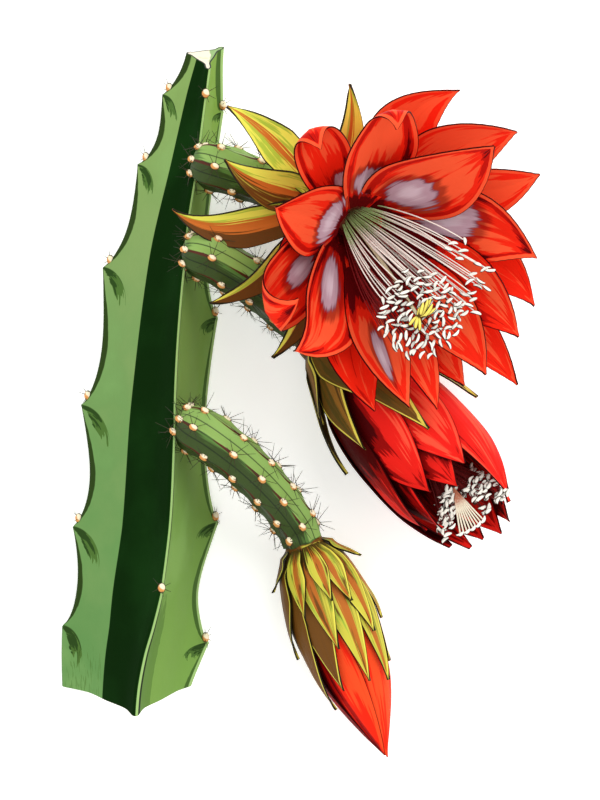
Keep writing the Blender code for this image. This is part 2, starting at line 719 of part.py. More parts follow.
def build_stamens(frame, target, coll):
    """Return the open bloom's stamens and the pistil that passes through them."""
    rng = random.Random(SEED + 1)
    style_end = Vector(STIGMA)
    style = bend_line(frame.at(15.0), frame.at(21.0 + FILAMENT_BEND), style_end, 6)
    way = (style[-1] - style[-2]).normalized()
    lobes = []
    pistil = [thread("style", style, [1.2] * 7, 6, coll)]
    side = way.orthogonal().normalized()
    for k in range(STIGMA_LOBES):
        angle = 360.0 * k / STIGMA_LOBES
        out = Matrix.Rotation(math.radians(angle), 3, way) @ side
        tip = style_end + out * 5.0 + way * 4.0
        lobes.append(tip)
        pistil.append(thread(f"lobe_{k}", [style_end - way * 1.0, style_end + out * 2.2 + way * 2.4,
                                           tip], [0.9, 0.8, 0.5], 4, coll))
    guard = style + lobes + [style_end + (lobe - style_end) * 0.5 for lobe in lobes]
    dense = []
    for a, b in zip(style, style[1:]):
        dense += [a.lerp(b, 0.33), a.lerp(b, 0.66)]
    guard += dense
    bm = bmesh.new()
    sides = 16
    loft(bm, [[frame.at(s, r, 360.0 * k / sides) for k in range(sides)]
              for s, r in ((14.3, 7.0), (19.5, 8.4), (19.5, 1.9), (14.3, 1.9))])
    bm.faces.ensure_lookup_table()
    ends = [face for face in bm.faces if len(face.verts) > 4]
    rims = [list(face.verts) for face in ends]
    bmesh.ops.delete(bm, geom=ends, context="FACES_ONLY")
    low, high = rims[0], rims[-1]
    ring_a = sorted(low, key=lambda v: ring_turn(frame, v.co))
    ring_b = sorted(high, key=lambda v: ring_turn(frame, v.co))
    for i in range(sides):
        j = (i + 1) % sides
        bm.faces.new((ring_a[i], ring_a[j], ring_b[j], ring_b[i]))
    stamens = [to_object("seat", bm, coll)]
    made = 0
    tries = 0
    while made < FILAMENTS and tries < 4000:
        tries += 1
        turn = rng.uniform(0.0, 360.0)
        spread = math.sqrt(rng.random())
        foot = frame.at(17.6, 3.2 + 4.2 * rng.random(), turn)
        end = Vector(ANTHER_CENTRE) + Vector((
            ANTHER_SPREAD[0] * spread * math.cos(math.radians(turn)),
            ANTHER_SPREAD[1] * spread * math.sin(math.radians(turn)),
            rng.uniform(-2.0, 3.0)))
        lift = frame.at(21.0 + FILAMENT_BEND * rng.uniform(0.85, 1.1), 4.0 * spread, turn)
        line = bend_line(foot, lift, end, 4)
        clear = all((a - b).length > 3.4 for a in line[1:] for b in guard[2:])
        if not clear:
            continue
        stamens.append(thread(f"filament_{made}", line, [0.42] * 5, 3, coll))
        tip_way = Vector((rng.uniform(-1, 1), rng.uniform(-1, 1), rng.uniform(-0.3, 0.5)))
        stamens.append(pad(f"anther_{made}", end, tip_way, (ANTHER[1], ANTHER[0]), 4, 3, coll))
        made += 1
    return [
        fuse("open_bloom_stamens", "stamen_white", stamens, target),
        fuse("open_bloom_pistil", "stigma_yellow", pistil, target),
    ]


def ring_turn(frame, point):
    """Return the turn of a point round the frame's axis."""
    away = point - frame.origin
    return math.atan2(away.dot(frame.second), away.dot(frame.first))


def build_second_bloom(target, coll):
    """Return the bracts, petals and stamens of the half open bloom."""
    frame = Axis(SECOND_TUBE[-1], SECOND_AXIS, across=(0.71, 0.70, 0.0))
    bracts = [turned("seat", frame, ((0.3, 7.6), (5.0, 8.6), (9.7, 8.8)), 16, coll)]
    for i, row in enumerate(SECOND_BRACTS):
        bracts.append(closed_blade(
            f"bract_{i}", frame, row, SECOND_PROFILE, 5.0, 0.0, bract_width, BRACT_SKEW,
            5, 2, coll))
    petals = [turned("core", frame, (
        (10.0, 7.6), (20.0, 12.0), (28.0, 15.8), (30.0, 14.0)), 20, coll)]
    for i, row in enumerate(SECOND_PETALS):
        petals.append(closed_blade(
            f"petal_{i}", frame, row, SECOND_PROFILE, 16.0, -3.0, petal_width, PETAL_SKEW,
            5, 3, coll))
    rng = random.Random(SEED + 2)
    stamens = [turned("seat", frame, ((30.3, 6.0), (60.0, 4.0), (72.0, 3.0)), 12, coll)]
    centre, wide, deep = MOUTH
    for i in range(SECOND_ANTHERS):
        turn = rng.uniform(0.0, 360.0)
        reach = wide * math.sqrt(rng.random())
        up = math.sin(math.radians(turn)) * reach
        end = frame.at(centre - deep * up / wide + rng.uniform(-1.0, 1.0), reach, turn)
        foot = frame.at(62.0, 1.5, turn)
        stamens.append(thread(
            f"filament_{i}", [foot, frame.at(80.0, reach * 0.6, turn), end], [0.45] * 3, 3, coll))
        way = Vector((rng.uniform(-1, 1), rng.uniform(-1, 1), rng.uniform(-0.4, 0.8)))
        stamens.append(pad(f"anther_{i}", end, way, (0.9, 2.6), 4, 3, coll))
    return [
        fuse("second_bloom_bracts", "bract_olive", bracts, target),
        fuse("second_bloom_petals", "petal_crimson", petals, target),
        fuse("second_bloom_stamens", "anther_cream", stamens, target),
    ]


def build_bud(target, coll):
    """Return the bracts and the closed petals of the bud."""
    frame = Axis(BUD_TUBE[-1], BUD_AXIS, across=(0.93, 0.36, 0.0))
    bracts = [turned("seat", frame, ((0.3, 7.6), (2.5, 8.2), (4.7, 8.0)), 16, coll)]
    for i, row in enumerate(BUD_BRACTS):
        bracts.append(closed_blade(
            f"bract_{i}", frame, row, BUD_PROFILE, 2.0, 0.0, bract_width, BRACT_SKEW,
            5, 2, coll))
    inner = tuple((s, max(r - 3.4, 0.6)) for s, r in BUD_PROFILE[:-2])
    petals = [turned("core", frame, inner, 16, coll)]
    for i, row in enumerate(BUD_PETALS):
        petals.append(closed_blade(
            f"petal_{i}", frame, row, BUD_PROFILE, 14.6, -4.4, petal_width, PETAL_SKEW,
            5, 3, coll))
    return [
        fuse("bud_bracts", "bract_yellow", bracts, target),
        fuse("bud_petals", "bud_red", petals, target),
    ]


def main():
    """Build every node of the cutting."""
    clear_scene()
    target = collection("sun_cactus_cutting")
    work = collection("work", hidden=True)
    body = stem_body(work)
    cutter = grown(body, CLEARANCE + 0.05, work)
    stem = build_stem(body, target, work)
    first = build_open_bloom(target, work)
    second = build_second_bloom(target, work)
    bud = build_bud(target, work)
    near = [stem] + first + second + bud
    for name, path, axis, rows, spine, seed in (
            ("open_bloom_tube", OPEN_TUBE, OPEN_AXIS, 2, 5.5, SEED + 3),
            ("second_bloom_tube", SECOND_TUBE, SECOND_AXIS, 2, 5.5, SEED + 4),
            ("bud_tube", BUD_TUBE, BUD_AXIS, 3, 7.0, SEED + 5)):
        build_tube(name, path, axis, near, cutter, rows, 2, spine, seed, target, work)
    for obj in target.objects:
        for vert in obj.data.vertices:
            vert.co.x += PLACE[0] * MM
            vert.co.y += PLACE[1] * MM
    cutter_mesh = cutter.data
    bpy.data.objects.remove(cutter)
    bpy.data.meshes.remove(cutter_mesh)
    bpy.data.collections.remove(work)


main()
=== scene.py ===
"""Flowering sun cactus cutting: the looks of its stem, flower tubes, blooms and bud.

The design tables are in millimetres, meshes in metres. The open bloom's petals lie at other
depths here than in the solids.
"""
import logging
import math
import random
from collections.abc import Callable, Iterator, Sequence
from contextlib import contextmanager
from dataclasses import dataclass
from enum import Enum

import bpy
import numpy as np
from mathutils import Matrix, Vector
from mathutils.bvhtree import BVHTree


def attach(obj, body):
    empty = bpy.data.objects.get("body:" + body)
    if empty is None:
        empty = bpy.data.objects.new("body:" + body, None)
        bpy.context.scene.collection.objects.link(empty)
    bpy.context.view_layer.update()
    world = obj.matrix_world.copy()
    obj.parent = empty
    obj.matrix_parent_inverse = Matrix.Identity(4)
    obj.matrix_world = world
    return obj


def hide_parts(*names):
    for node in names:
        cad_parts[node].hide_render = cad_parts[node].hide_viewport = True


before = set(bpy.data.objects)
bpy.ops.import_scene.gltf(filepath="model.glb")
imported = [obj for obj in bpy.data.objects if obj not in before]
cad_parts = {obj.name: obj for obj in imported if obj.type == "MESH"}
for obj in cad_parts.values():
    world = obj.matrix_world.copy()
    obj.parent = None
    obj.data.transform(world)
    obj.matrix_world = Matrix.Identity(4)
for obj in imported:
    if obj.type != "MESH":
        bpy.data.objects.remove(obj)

LOG = logging.getLogger("sun_cactus")
MM = 0.001
HOLD = 0.8
GOLDEN_TURN = 2.399963
FAR_OFF = 9.0
THINNEST = 0.25
PLACE = np.array([0.7, 1.15, 0.0])
PETAL_GRID = (44, 20)
BRACT_GRID = (36, 12)
PETAL_WALL = 0.55

# Where each flower tube ends, and the way that it points there
OPEN_END = (13.3, 78.4, 30.7)
OPEN_WAY = (0.339, -0.408, 0.848)
SECOND_END = (2.6, 27.0, 12.1)
SECOND_WAY = (0.675, -0.700, 0.225)
BUD_END = (0.6, -56.6, 22.7)
BUD_WAY = (0.360, -0.925, -0.110)

Array = np.ndarray
Piece = bpy.types.Object
Socket = bpy.types.NodeSocket
Colour = tuple[int, int, int]
Shape = Callable[[Array, Array], Array]
Marks = Callable[[Array, Array], dict[str, Array | float]]


class Outline(Enum):
    """How a blade narrows to its root and to its tip: root share and power of the fall."""

    PETAL = (0.32, 1.8)
    BRACT = (0.45, 1.2)

    def half(self, u: Array, peak: float) -> Array:
        """Return the half width factor.

        Args:
            u: Share of the length, 0 at the root.
            peak: Where the blade is widest.

        Returns:
            Factor of half the full width.
        """
        base, power = self.value
        rise = base + (1.0 - base) * np.sin(np.pi / 2.0 * np.minimum(u / peak, 1.0))
        return rise * (1.0 - np.clip((u - peak) / (1.0 - peak), 0.0, 1.0) ** power)


# Mesh helpers


def deselect() -> None:
    """Deselect every object."""
    bpy.ops.object.select_all(action="DESELECT")


def activate(obj: Piece) -> None:
    """Make the object the only selected and the active one."""
    deselect()
    obj.select_set(True)
    bpy.context.view_layer.objects.active = obj


@contextmanager
def editing(obj: Piece, select: str) -> Iterator[None]:
    """Open the object in edit mode with all or none of it selected, and leave it afterwards."""
    activate(obj)
    bpy.ops.object.mode_set(mode="EDIT")
    bpy.ops.mesh.select_all(action=select)
    yield
    bpy.ops.object.mode_set(mode="OBJECT")


def read_vectors(obj: Piece, name: str) -> Array:
    """Return the place or the normal that is stored for each of the object's vertices."""
    flat = np.empty(len(obj.data.vertices) * 3, np.float32)
    obj.data.vertices.foreach_get(name, flat)
    return flat.reshape(-1, 3)


def read_points(obj: Piece) -> Array:
    """Return the object's vertices in metres."""
    return read_vectors(obj, "co").astype(float)


def read_design(obj: Piece) -> Array:
    """Return the object's vertices in the design's millimetres."""
    return read_points(obj) / MM - PLACE


def write_points(obj: Piece, points: Array) -> None:
    """Move the object's vertices.

    Args:
        obj: Mesh object at the origin.
        points: New places in the design's millimetres.
    """
    flat = ((points + PLACE) * MM).astype(np.float32).ravel()
    obj.data.vertices.foreach_set("co", flat)
    obj.data.update()


def paint(obj: Piece, **values: Array | float) -> None:
    """Store a number for each vertex under each given name."""
    count = len(obj.data.vertices)
    for name, value in values.items():
        store = obj.data.attributes.get(name)
        if store is None:
            store = obj.data.attributes.new(name, "FLOAT", "POINT")
        flat = np.ascontiguousarray(np.broadcast_to(np.asarray(value, np.float32), (count,)))
        store.data.foreach_set("value", flat)


def sheet(name: str, along: int, across: int, shape: Shape,
          marks: Marks | None = None) -> Piece:
    """Add a grid and shape it by a formula.

    Args:
        name: Object name.
        along: Squares along u.
        across: Squares along v.
        shape: Gives points for u from 0 to 1 and v from -1 to 1.
        marks: Gives the numbers stored on each vertex, if any.

    Returns:
        The new object, its first UV map holding u and v.
    """
    deselect()
    bpy.ops.mesh.primitive_grid_add(x_subdivisions=along, y_subdivisions=across, size=2.0)
    obj = bpy.context.active_object
    obj.name = name
    flat = read_points(obj)
    u = (flat[:, 0] + 1.0) / 2.0
    v = flat[:, 1]
    write_points(obj, shape(u, v))
    if marks:
        paint(obj, **marks(u, v))
    return obj


def thicken(obj: Piece, wall: float) -> None:
    """Give a sheet a wall under its upper face and mark which face is which.

    Args:
        obj: Sheet to thicken.
        wall: Thickness in millimetres.
    """
    upper = len(obj.data.vertices)
    activate(obj)
    mod = obj.modifiers.new("wall", "SOLIDIFY")
    mod.thickness = wall * MM
    mod.offset = -1.0
    bpy.ops.object.modifier_apply(modifier=mod.name)
    back = np.zeros(len(obj.data.vertices))
    back[upper:] = 1.0
    paint(obj, back=back)


def close_seam(obj: Piece) -> None:
    """Merge a rolled sheet's meeting edges and point its faces outward."""
    with editing(obj, "SELECT"):
        bpy.ops.mesh.remove_doubles(threshold=0.002 * MM)
        bpy.ops.mesh.normals_make_consistent(inside=False)


def join(name: str, pieces: Sequence[Piece]) -> Piece:
    """Join the pieces into one object with the given name."""
    deselect()
    for piece in pieces:
        piece.select_set(True)
    bpy.context.view_layer.objects.active = pieces[0]
    if len(pieces) > 1:
        bpy.ops.object.join()
    pieces[0].name = name
    pieces[0].data.name = name
    return pieces[0]


def stamp(template: Piece, place: Matrix, **values: float) -> Piece:
    """Copy a template with its own mesh.

    Args:
        template: Small object modelled round the origin in metres.
        place: Where it goes, in the design's millimetres.
        values: Numbers stored on each vertex of the copy.

    Returns:
        The copy, its place in its mesh.
    """
    copy = template.copy()
    copy.data = template.data.copy()
    bpy.context.collection.objects.link(copy)
    shift = Matrix.Translation(Vector(PLACE * MM))
    scaled = place.copy()
    scaled.translation = place.translation * MM
    copy.data.transform(shift @ scaled)
    paint(copy, **values)
    return copy


def aim(spot: Array, way: Array, size: Sequence[float], roll: float = 0.0) -> Matrix:
    """Return the matrix that puts a template's Z along a direction.

    Args:
        spot: Place in millimetres.
        way: Direction of the template's Z.
        size: Scale along the template's X, Y and Z.
        roll: Turn about the template's Z in radians.

    Returns:
        The placing matrix, its translation in millimetres.
    """
    turn = Vector(way).normalized().to_track_quat("Z", "Y").to_matrix().to_4x4()
    scale = Matrix.Diagonal((*size, 1.0))
    return Matrix.Translation(Vector(spot)) @ turn @ Matrix.Rotation(roll, 4, "Z") @ scale


def dress(obj: Piece, material: bpy.types.Material, node: str) -> None:
    """Finish a piece: its material, smooth faces, and the solid that it stands for.

    Args:
        obj: The finished piece.
        material: Its material, put in its first slot where that is free.
        node: CAD node that it replaces.
    """
    if not obj.data.materials:
        obj.data.materials.append(material)
    activate(obj)
    bpy.ops.object.shade_smooth_by_angle(angle=math.radians(50.0))
    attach(obj, "root")
    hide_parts(node)
    LOG.info("%s: %d faces for %s", obj.name, len(obj.data.polygons), node)


def unit(vector: Array) -> Array:
    """Return the vector, or each row of vectors, at length one."""
    return vector / np.linalg.norm(vector, axis=-1, keepdims=True)


def eased(value: Array, low: float, high: float) -> Array:
    """Return a smooth step from 0 at low to 1 at high."""
    t = np.clip((value - low) / (high - low), 0.0, 1.0)
    return t * t * (3.0 - 2.0 * t)


def cubic(t: Array, a: Array, b: Array, slope_a: Array, slope_b: Array) -> Array:
    """Return the smooth cubic from a to b that has the given slopes at its ends."""
    return ((2 * t**3 - 3 * t**2 + 1) * a + (t**3 - 2 * t**2 + t) * slope_a
            + (3 * t**2 - 2 * t**3) * b + (t**3 - t**2) * slope_b)


def keyed(keys: Sequence[Sequence[float]], at: Array | float) -> Array:
    """Read a keyed table with a smooth cubic between its keys.

    Args:
        keys: Rows of a position and its values.
        at: Positions to read.

    Returns:
        One row of values for each position.
    """
    table = np.array(sorted(keys), float)
    where = np.clip(np.atleast_1d(np.asarray(at, float)), table[0, 0], table[-1, 0])
    i = np.clip(np.searchsorted(table[:, 0], where, side="left") - 1, 0, len(table) - 2)
    a, b = table[i], table[i + 1]
    before = table[np.maximum(i - 1, 0)]
    after = table[np.minimum(i + 2, len(table) - 1)]
    step = (b[:, 0] - a[:, 0])[:, None]
    t = (where - a[:, 0])[:, None] / step
    slope_a = (b[:, 1:] - before[:, 1:]) / (b[:, 0] - before[:, 0])[:, None] * step
    slope_b = (after[:, 1:] - a[:, 1:]) / (after[:, 0] - a[:, 0])[:, None] * step
    return cubic(t, a[:, 1:], b[:, 1:], slope_a, slope_b)


def along_path(path: Sequence[Sequence[float]], steps: int) -> Array:
    """Return evenly spread points on a smooth line through the given points."""
    points = np.array(path, float)
    run = np.concatenate([[0.0], np.cumsum(np.linalg.norm(np.diff(points, axis=0), axis=1))])
    keys = np.concatenate([run[:, None], points], axis=1)
    return keyed(keys.tolist(), np.linspace(0.0, run[-1], steps + 1))


def carry_frames(points: Array, last: Array | None = None) -> tuple[Array, Array, Array]:
    """Return each point's direction along a line and two directions across it.

    Args:
        points: Points of the line.
        last: Direction of the last one, where it is given.

    Returns:
        Directions along, first across and second across.
    """
    ahead = np.concatenate([points[1:], points[-1:]])
    behind = np.concatenate([points[:1], points[:-1]])
    along = unit(ahead - behind)
    if last is not None:
        along[-1] = unit(last)
    firsts = []
    first = np.array([0.0, 0.0, 1.0])
    for way in along:
        first = unit(first - way * first.dot(way))
        firsts.append(first)
    first_rows = np.array(firsts)
    return along, first_rows, np.cross(along, first_rows)


def thread(name: str, points: Array, radii: Array, sides: int) -> Piece:
    """Make a tube of few sides along a line of points, each end closed."""
    _, first, second = carry_frames(points)
    rings = [0, *range(len(points)), len(points) - 1]
    size = np.concatenate([[0.0], radii, [0.0]])

    def shape(u: Array, v: Array) -> Array:
        k = np.rint(u * (len(rings) - 1)).astype(int)
        i = np.array(rings)[k]
        angle = (v + 1.0) * np.pi
        away = first[i] * np.cos(angle)[:, None] + second[i] * np.sin(angle)[:, None]
        return points[i] + away * size[k][:, None]

    tube = sheet(name, len(rings) - 1, sides, shape)
    close_seam(tube)
    return tube


def occlusion(points: Array, normals: Array, trees: Sequence[BVHTree], reach: float) -> Array:
    """Return how much of the sky over each point is hidden by near surfaces.

    Args:
        points: Points in metres.
        normals: Their normals.
        trees: Surfaces that hide the sky.
        reach: Furthest distance that counts, in metres.

    Returns:
        Hidden share from 0 to 1.
    """
    rng = random.Random(5)
    count, lowest = 12, 0.25
    rays = []
    for k in range(count):
        z = lowest + (1.0 - lowest) * (k + 0.5) / count
        turn = GOLDEN_TURN * k + rng.random()
        flat = math.sqrt(1.0 - z * z)
        rays.append((flat * math.cos(turn), flat * math.sin(turn), z))
    hidden = np.zeros(len(points))
    for i, (point, normal) in enumerate(zip(points, normals)):
        up = Vector(normal)
        side = up.orthogonal().normalized()
        other = up.cross(side)
        start = Vector(point) + up * (0.6 * MM)
        for x, y, z in rays:
            way = side * x + other * y + up * z
            for tree in trees:
                hit = tree.ray_cast(start, way, reach)
                if hit[0] is not None:
                    hidden[i] += 1.0 - hit[3] / reach
                    break
    return hidden / len(rays)


def shade_by_neighbours(pieces: Sequence[Piece], reach: float) -> None:
    """Store on each piece how deep each vertex lies among all the pieces, for painted shade.

    Args:
        pieces: Sheets that hide each other.
        reach: Furthest distance that counts, in millimetres.
    """
    graph = bpy.context.evaluated_depsgraph_get()
    graph.update()
    trees = [BVHTree.FromObject(piece, graph) for piece in pieces]
    for piece in pieces:
        normals = read_vectors(piece, "normal")
        paint(piece, deep=occlusion(read_points(piece), normals, trees, reach * MM))


# Shader helpers


def linear(colour: Colour) -> tuple[float, float, float, float]:
    """Return a display colour, 0 to 255, as linear values held back for the bright studio."""
    parts = []
    for part in colour:
        c = part / 255.0
        parts.append(HOLD * (c / 12.92 if c <= 0.04045 else ((c + 0.055) / 1.055) ** 2.4))
    return (*parts, 1.0)


class Tree:
    """Short ways to add and link nodes in a material's or a group's tree."""

    def __init__(self, tree: bpy.types.NodeTree) -> None:
        """Keep the tree that nodes are added to."""
        self.tree = tree

    def add(self, kind: str, **settings: object) -> bpy.types.Node:
        """Add a node and set its properties."""
        node = self.tree.nodes.new(kind)
        for name, value in settings.items():
            setattr(node, name, value)
        return node

    def feed(self, socket: Socket, value: object) -> None:
        """Link a socket, or set it where a plain value is given."""
        if isinstance(value, Socket):
            self.tree.links.new(value, socket)
        else:
            socket.default_value = value

    def math(self, operation: str, a: object, b: object = 0.0) -> Socket:
        """Return the result of a math node on one or two values."""
        node = self.add("ShaderNodeMath", operation=operation)
        self.feed(node.inputs[0], a)
        self.feed(node.inputs[1], b)
        return node.outputs[0]

    def times(self, a: object, b: object) -> Socket:
        """Return the product of two values."""
        return self.math("MULTIPLY", a, b)

    def minus(self, a: object, b: object) -> Socket:
        """Return the difference of two values."""
        return self.math("SUBTRACT", a, b)

    def rest(self, share: object) -> Socket:
        """Return what a share leaves of 1."""
        return self.minus(1.0, share)

    def step(self, value: object, low: float, high: float) -> Socket:
        """Return a smooth step from 0 at low to 1 at high."""
        node = self.add("ShaderNodeMapRange", interpolation_type="SMOOTHSTEP")
        self.feed(node.inputs["Value"], value)
        node.inputs["From Min"].default_value = low
        node.inputs["From Max"].default_value = high
        return node.outputs["Result"]

    def scaled(self, value: object, gain: float, centre: float = 0.0) -> Socket:
        """Return a value's distance from a centre, multiplied by a gain."""
        node = self.add("ShaderNodeMath", operation="MULTIPLY_ADD")
        self.feed(node.inputs[0], value)
        node.inputs[1].default_value = gain
        node.inputs[2].default_value = -centre * gain
        return node.outputs[0]

    def total(self, *values: object) -> Socket:
        """Return the sum of several values."""
        found = values[0]
        for value in values[1:]:
            found = self.math("ADD", found, value)
        return found

    def band(self, value: object, low: float, high: float, soft: float) -> Socket:
        """Return 1 between two limits and 0 outside, with soft ends."""
        return self.minus(self.step(value, low - soft, low + soft),
                          self.step(value, high - soft, high + soft))

    def mix(self, share: object, a: object, b: object) -> Socket:
        """Return two colours mixed by a share; a colour of three numbers is a display one."""
        node = self.add("ShaderNodeMix", data_type="RGBA")
        self.feed(node.inputs["Factor"], share)
        ends = [item for item in node.inputs if item.type == "RGBA"]
        for socket, value in zip(ends, (a, b)):
            plain = isinstance(value, tuple) and len(value) == 3
            self.feed(socket, linear(value) if plain else value)
        return node.outputs[2]

    def noise(self, vector: object, scale: float, detail: float = 3.0) -> Socket:
        """Return a noise texture's value over a vector."""
        node = self.add("ShaderNodeTexNoise")
        self.feed(node.inputs["Vector"], vector)
        node.inputs["Scale"].default_value = scale
        node.inputs["Detail"].default_value = detail
        return node.outputs["Fac"]

    def value(self, name: str) -> Socket:
        """Return a number stored on the mesh."""
        return self.add("ShaderNodeAttribute", attribute_name=name).outputs["Fac"]

    def vector(self, x: object, y: object, z: object) -> Socket:
        """Return a vector put together from three values."""
        node = self.add("ShaderNodeCombineXYZ")
        for socket, value in zip(node.inputs, (x, y, z)):
            self.feed(socket, value)
        return node.outputs[0]

    def streaks(self, place: object, scale: tuple[float, float, float]) -> Socket:
        """Return a noise drawn out along the directions of least scale."""
        node = self.add("ShaderNodeVectorMath", operation="MULTIPLY")
        self.feed(node.inputs[0], place)
        node.inputs[1].default_value = scale
        return self.noise(node.outputs[0], 1.0, 3.0)

    def parts(self, vector: object) -> Sequence[Socket]:
        """Return a vector's three values."""
        node = self.add("ShaderNodeSeparateXYZ")
        self.feed(node.inputs[0], vector)
        return node.outputs[0], node.outputs[1], node.outputs[2]

    def uv(self) -> tuple[Socket, Socket]:
        """Return the first UV map's two values."""
        return self.parts(self.add("ShaderNodeUVMap", uv_map="UVMap").outputs[0])[:2]

    def place(self) -> Socket:
        """Return object coordinates."""
        return self.add("ShaderNodeTexCoord").outputs["Object"]


def fibre_group() -> bpy.types.NodeTree:
    """Return the shared group that draws fibres along a blade, made on first use.

    Returns:
        A group with inputs Along, Across, Seed, Length and Width, and outputs Broad and Fine.
    """
    group = bpy.data.node_groups.get("fibres")
    if group:
        return group
    group = bpy.data.node_groups.new("fibres", "ShaderNodeTree")
    for name in ("Along", "Across", "Seed", "Length", "Width"):
        group.interface.new_socket(name=name, in_out="INPUT", socket_type="NodeSocketFloat")
    for name in ("Broad", "Fine"):
        group.interface.new_socket(name=name, in_out="OUTPUT", socket_type="NodeSocketFloat")
    tree = Tree(group)
    given = tree.add("NodeGroupInput").outputs
    out = tree.add("NodeGroupOutput").inputs
    x = tree.times(given["Along"], given["Length"])
    y = tree.times(given["Across"], given["Width"])
    z = tree.times(given["Seed"], 31.0)
    tree.feed(out["Broad"], tree.noise(tree.vector(x, y, z), 1.0, 4.0))
    fine = tree.vector(tree.times(x, 0.8), tree.times(y, 4.0), z)
    tree.feed(out["Fine"], tree.noise(fine, 1.0, 3.0))
    return group


class Finish:
    """A material being built: its tree, its shader and the common ends."""

    def __init__(self, name: str) -> None:
        """Make an empty Principled material."""
        self.material = bpy.data.materials.new(name)
        self.material.use_nodes = True
        self.tree = Tree(self.material.node_tree)
        self.shader = self.material.node_tree.nodes["Principled BSDF"]

    def fibres(self, u: object, v: object, length: float, width: float) -> tuple[Socket, Socket]:
        """Return the broad and fine fibres over a blade."""
        node = self.tree.add("ShaderNodeGroup", node_tree=fibre_group())
        self.tree.feed(node.inputs["Along"], u)
        self.tree.feed(node.inputs["Across"], v)
        self.tree.feed(node.inputs["Seed"], self.tree.value("seed"))
        node.inputs["Length"].default_value = length
        node.inputs["Width"].default_value = width
        return node.outputs["Broad"], node.outputs["Fine"]

    def end(self, colour: object, rough: object, height: object, depth: float,
            gloss: float = 0.4) -> bpy.types.Material:
        """Feed the shader and return the material.

        Args:
            colour: Base colour.
            rough: Roughness.
            height: Height of the relief.
            depth: Depth of the relief in millimetres.
            gloss: Specular level.

        Returns:
            The finished material.
        """
        self.tree.feed(self.shader.inputs["Base Color"], colour)
        self.tree.feed(self.shader.inputs["Roughness"], rough)
        self.shader.inputs["Specular IOR Level"].default_value = gloss
        bump = self.tree.add("ShaderNodeBump")
        bump.inputs["Strength"].default_value = 0.6
        bump.inputs["Distance"].default_value = depth * MM
        self.tree.feed(bump.inputs["Height"], height)
        self.tree.feed(self.shader.inputs["Normal"], bump.outputs[0])
        return self.material


# Finishes


@dataclass(frozen=True)
class PetalFinish:
    """Scarlet petal in four tones of painted light and shade, brushed edges, a lilac flush on
    some.
    """

    name: str
    # bright paints highlights; dark and fold paint shade, fold the deepest, and fold also rings
    # the flush.
    bright: Colour = (255, 90, 52)
    base: Colour = (248, 40, 18)
    dark: Colour = (196, 20, 10)
    fold: Colour = (98, 5, 9)
    line: Colour = (52, 2, 4)
    lilac: Colour = (194, 158, 170)
    pale: Colour = (222, 196, 206)
    plum: Colour = (120, 60, 78)

    def build(self) -> bpy.types.Material:
        """Return the petal material."""
        make = Finish(self.name)
        t = make.tree
        u, v = t.uv()
        broad, fine = make.fibres(u, v, 2.0, 5.0)
        edge = t.value("edge")
        # A painted highlight along the rim, with a painted shadow line just inside it.
        inner = t.minus(t.step(edge, 1.4, 2.1), t.step(
            t.total(edge, t.scaled(broad, 9.0, 0.5)), 3.2, 5.6))
        rolled = t.total(t.scaled(t.step(edge, 2.0, 1.4), 0.30), t.scaled(inner, -0.40))
        # Painted light and shade: the blade's painted tone, brushed streaks and painted shade
        # where neighbours crowd it.
        tone = t.total(
            t.value("tone"), t.scaled(broad, 0.85, 0.5), t.scaled(fine, 0.60, 0.5),
            t.scaled(t.value("deep"), -0.72), t.times(rolled, t.value("rim")))
        # Four tones, from the deepest painted shade to the painted highlight.
        colour = t.mix(t.step(tone, 0.00, 0.07), self.fold, self.dark)
        colour = t.mix(t.step(tone, 0.24, 0.30), colour, self.base)
        colour = t.mix(t.step(tone, 0.54, 0.63), colour, self.bright)
        spot = t.total(t.value("spot"), t.scaled(fine, 0.8, 0.5))
        halo = t.times(t.band(spot, 0.5, 1.25, 0.15), 0.6)
        front = t.rest(t.value("back"))
        colour = t.mix(t.times(halo, front), colour, self.fold)
        flush = t.mix(t.step(spot, 0.15, 0.62), self.pale, self.lilac)
        flush = t.mix(t.step(spot, 0.72, 0.96), flush, self.plum)
        inside = t.rest(t.step(spot, 0.84, 1.0))
        colour = t.mix(t.times(inside, front), colour, flush)
        outline = t.rest(t.step(edge, 0.14, 0.30))
        colour = t.mix(outline, colour, self.line)
        rough = t.total(0.40, t.scaled(broad, 0.2))
        return make.end(colour, rough, fine, 0.25, 0.03)


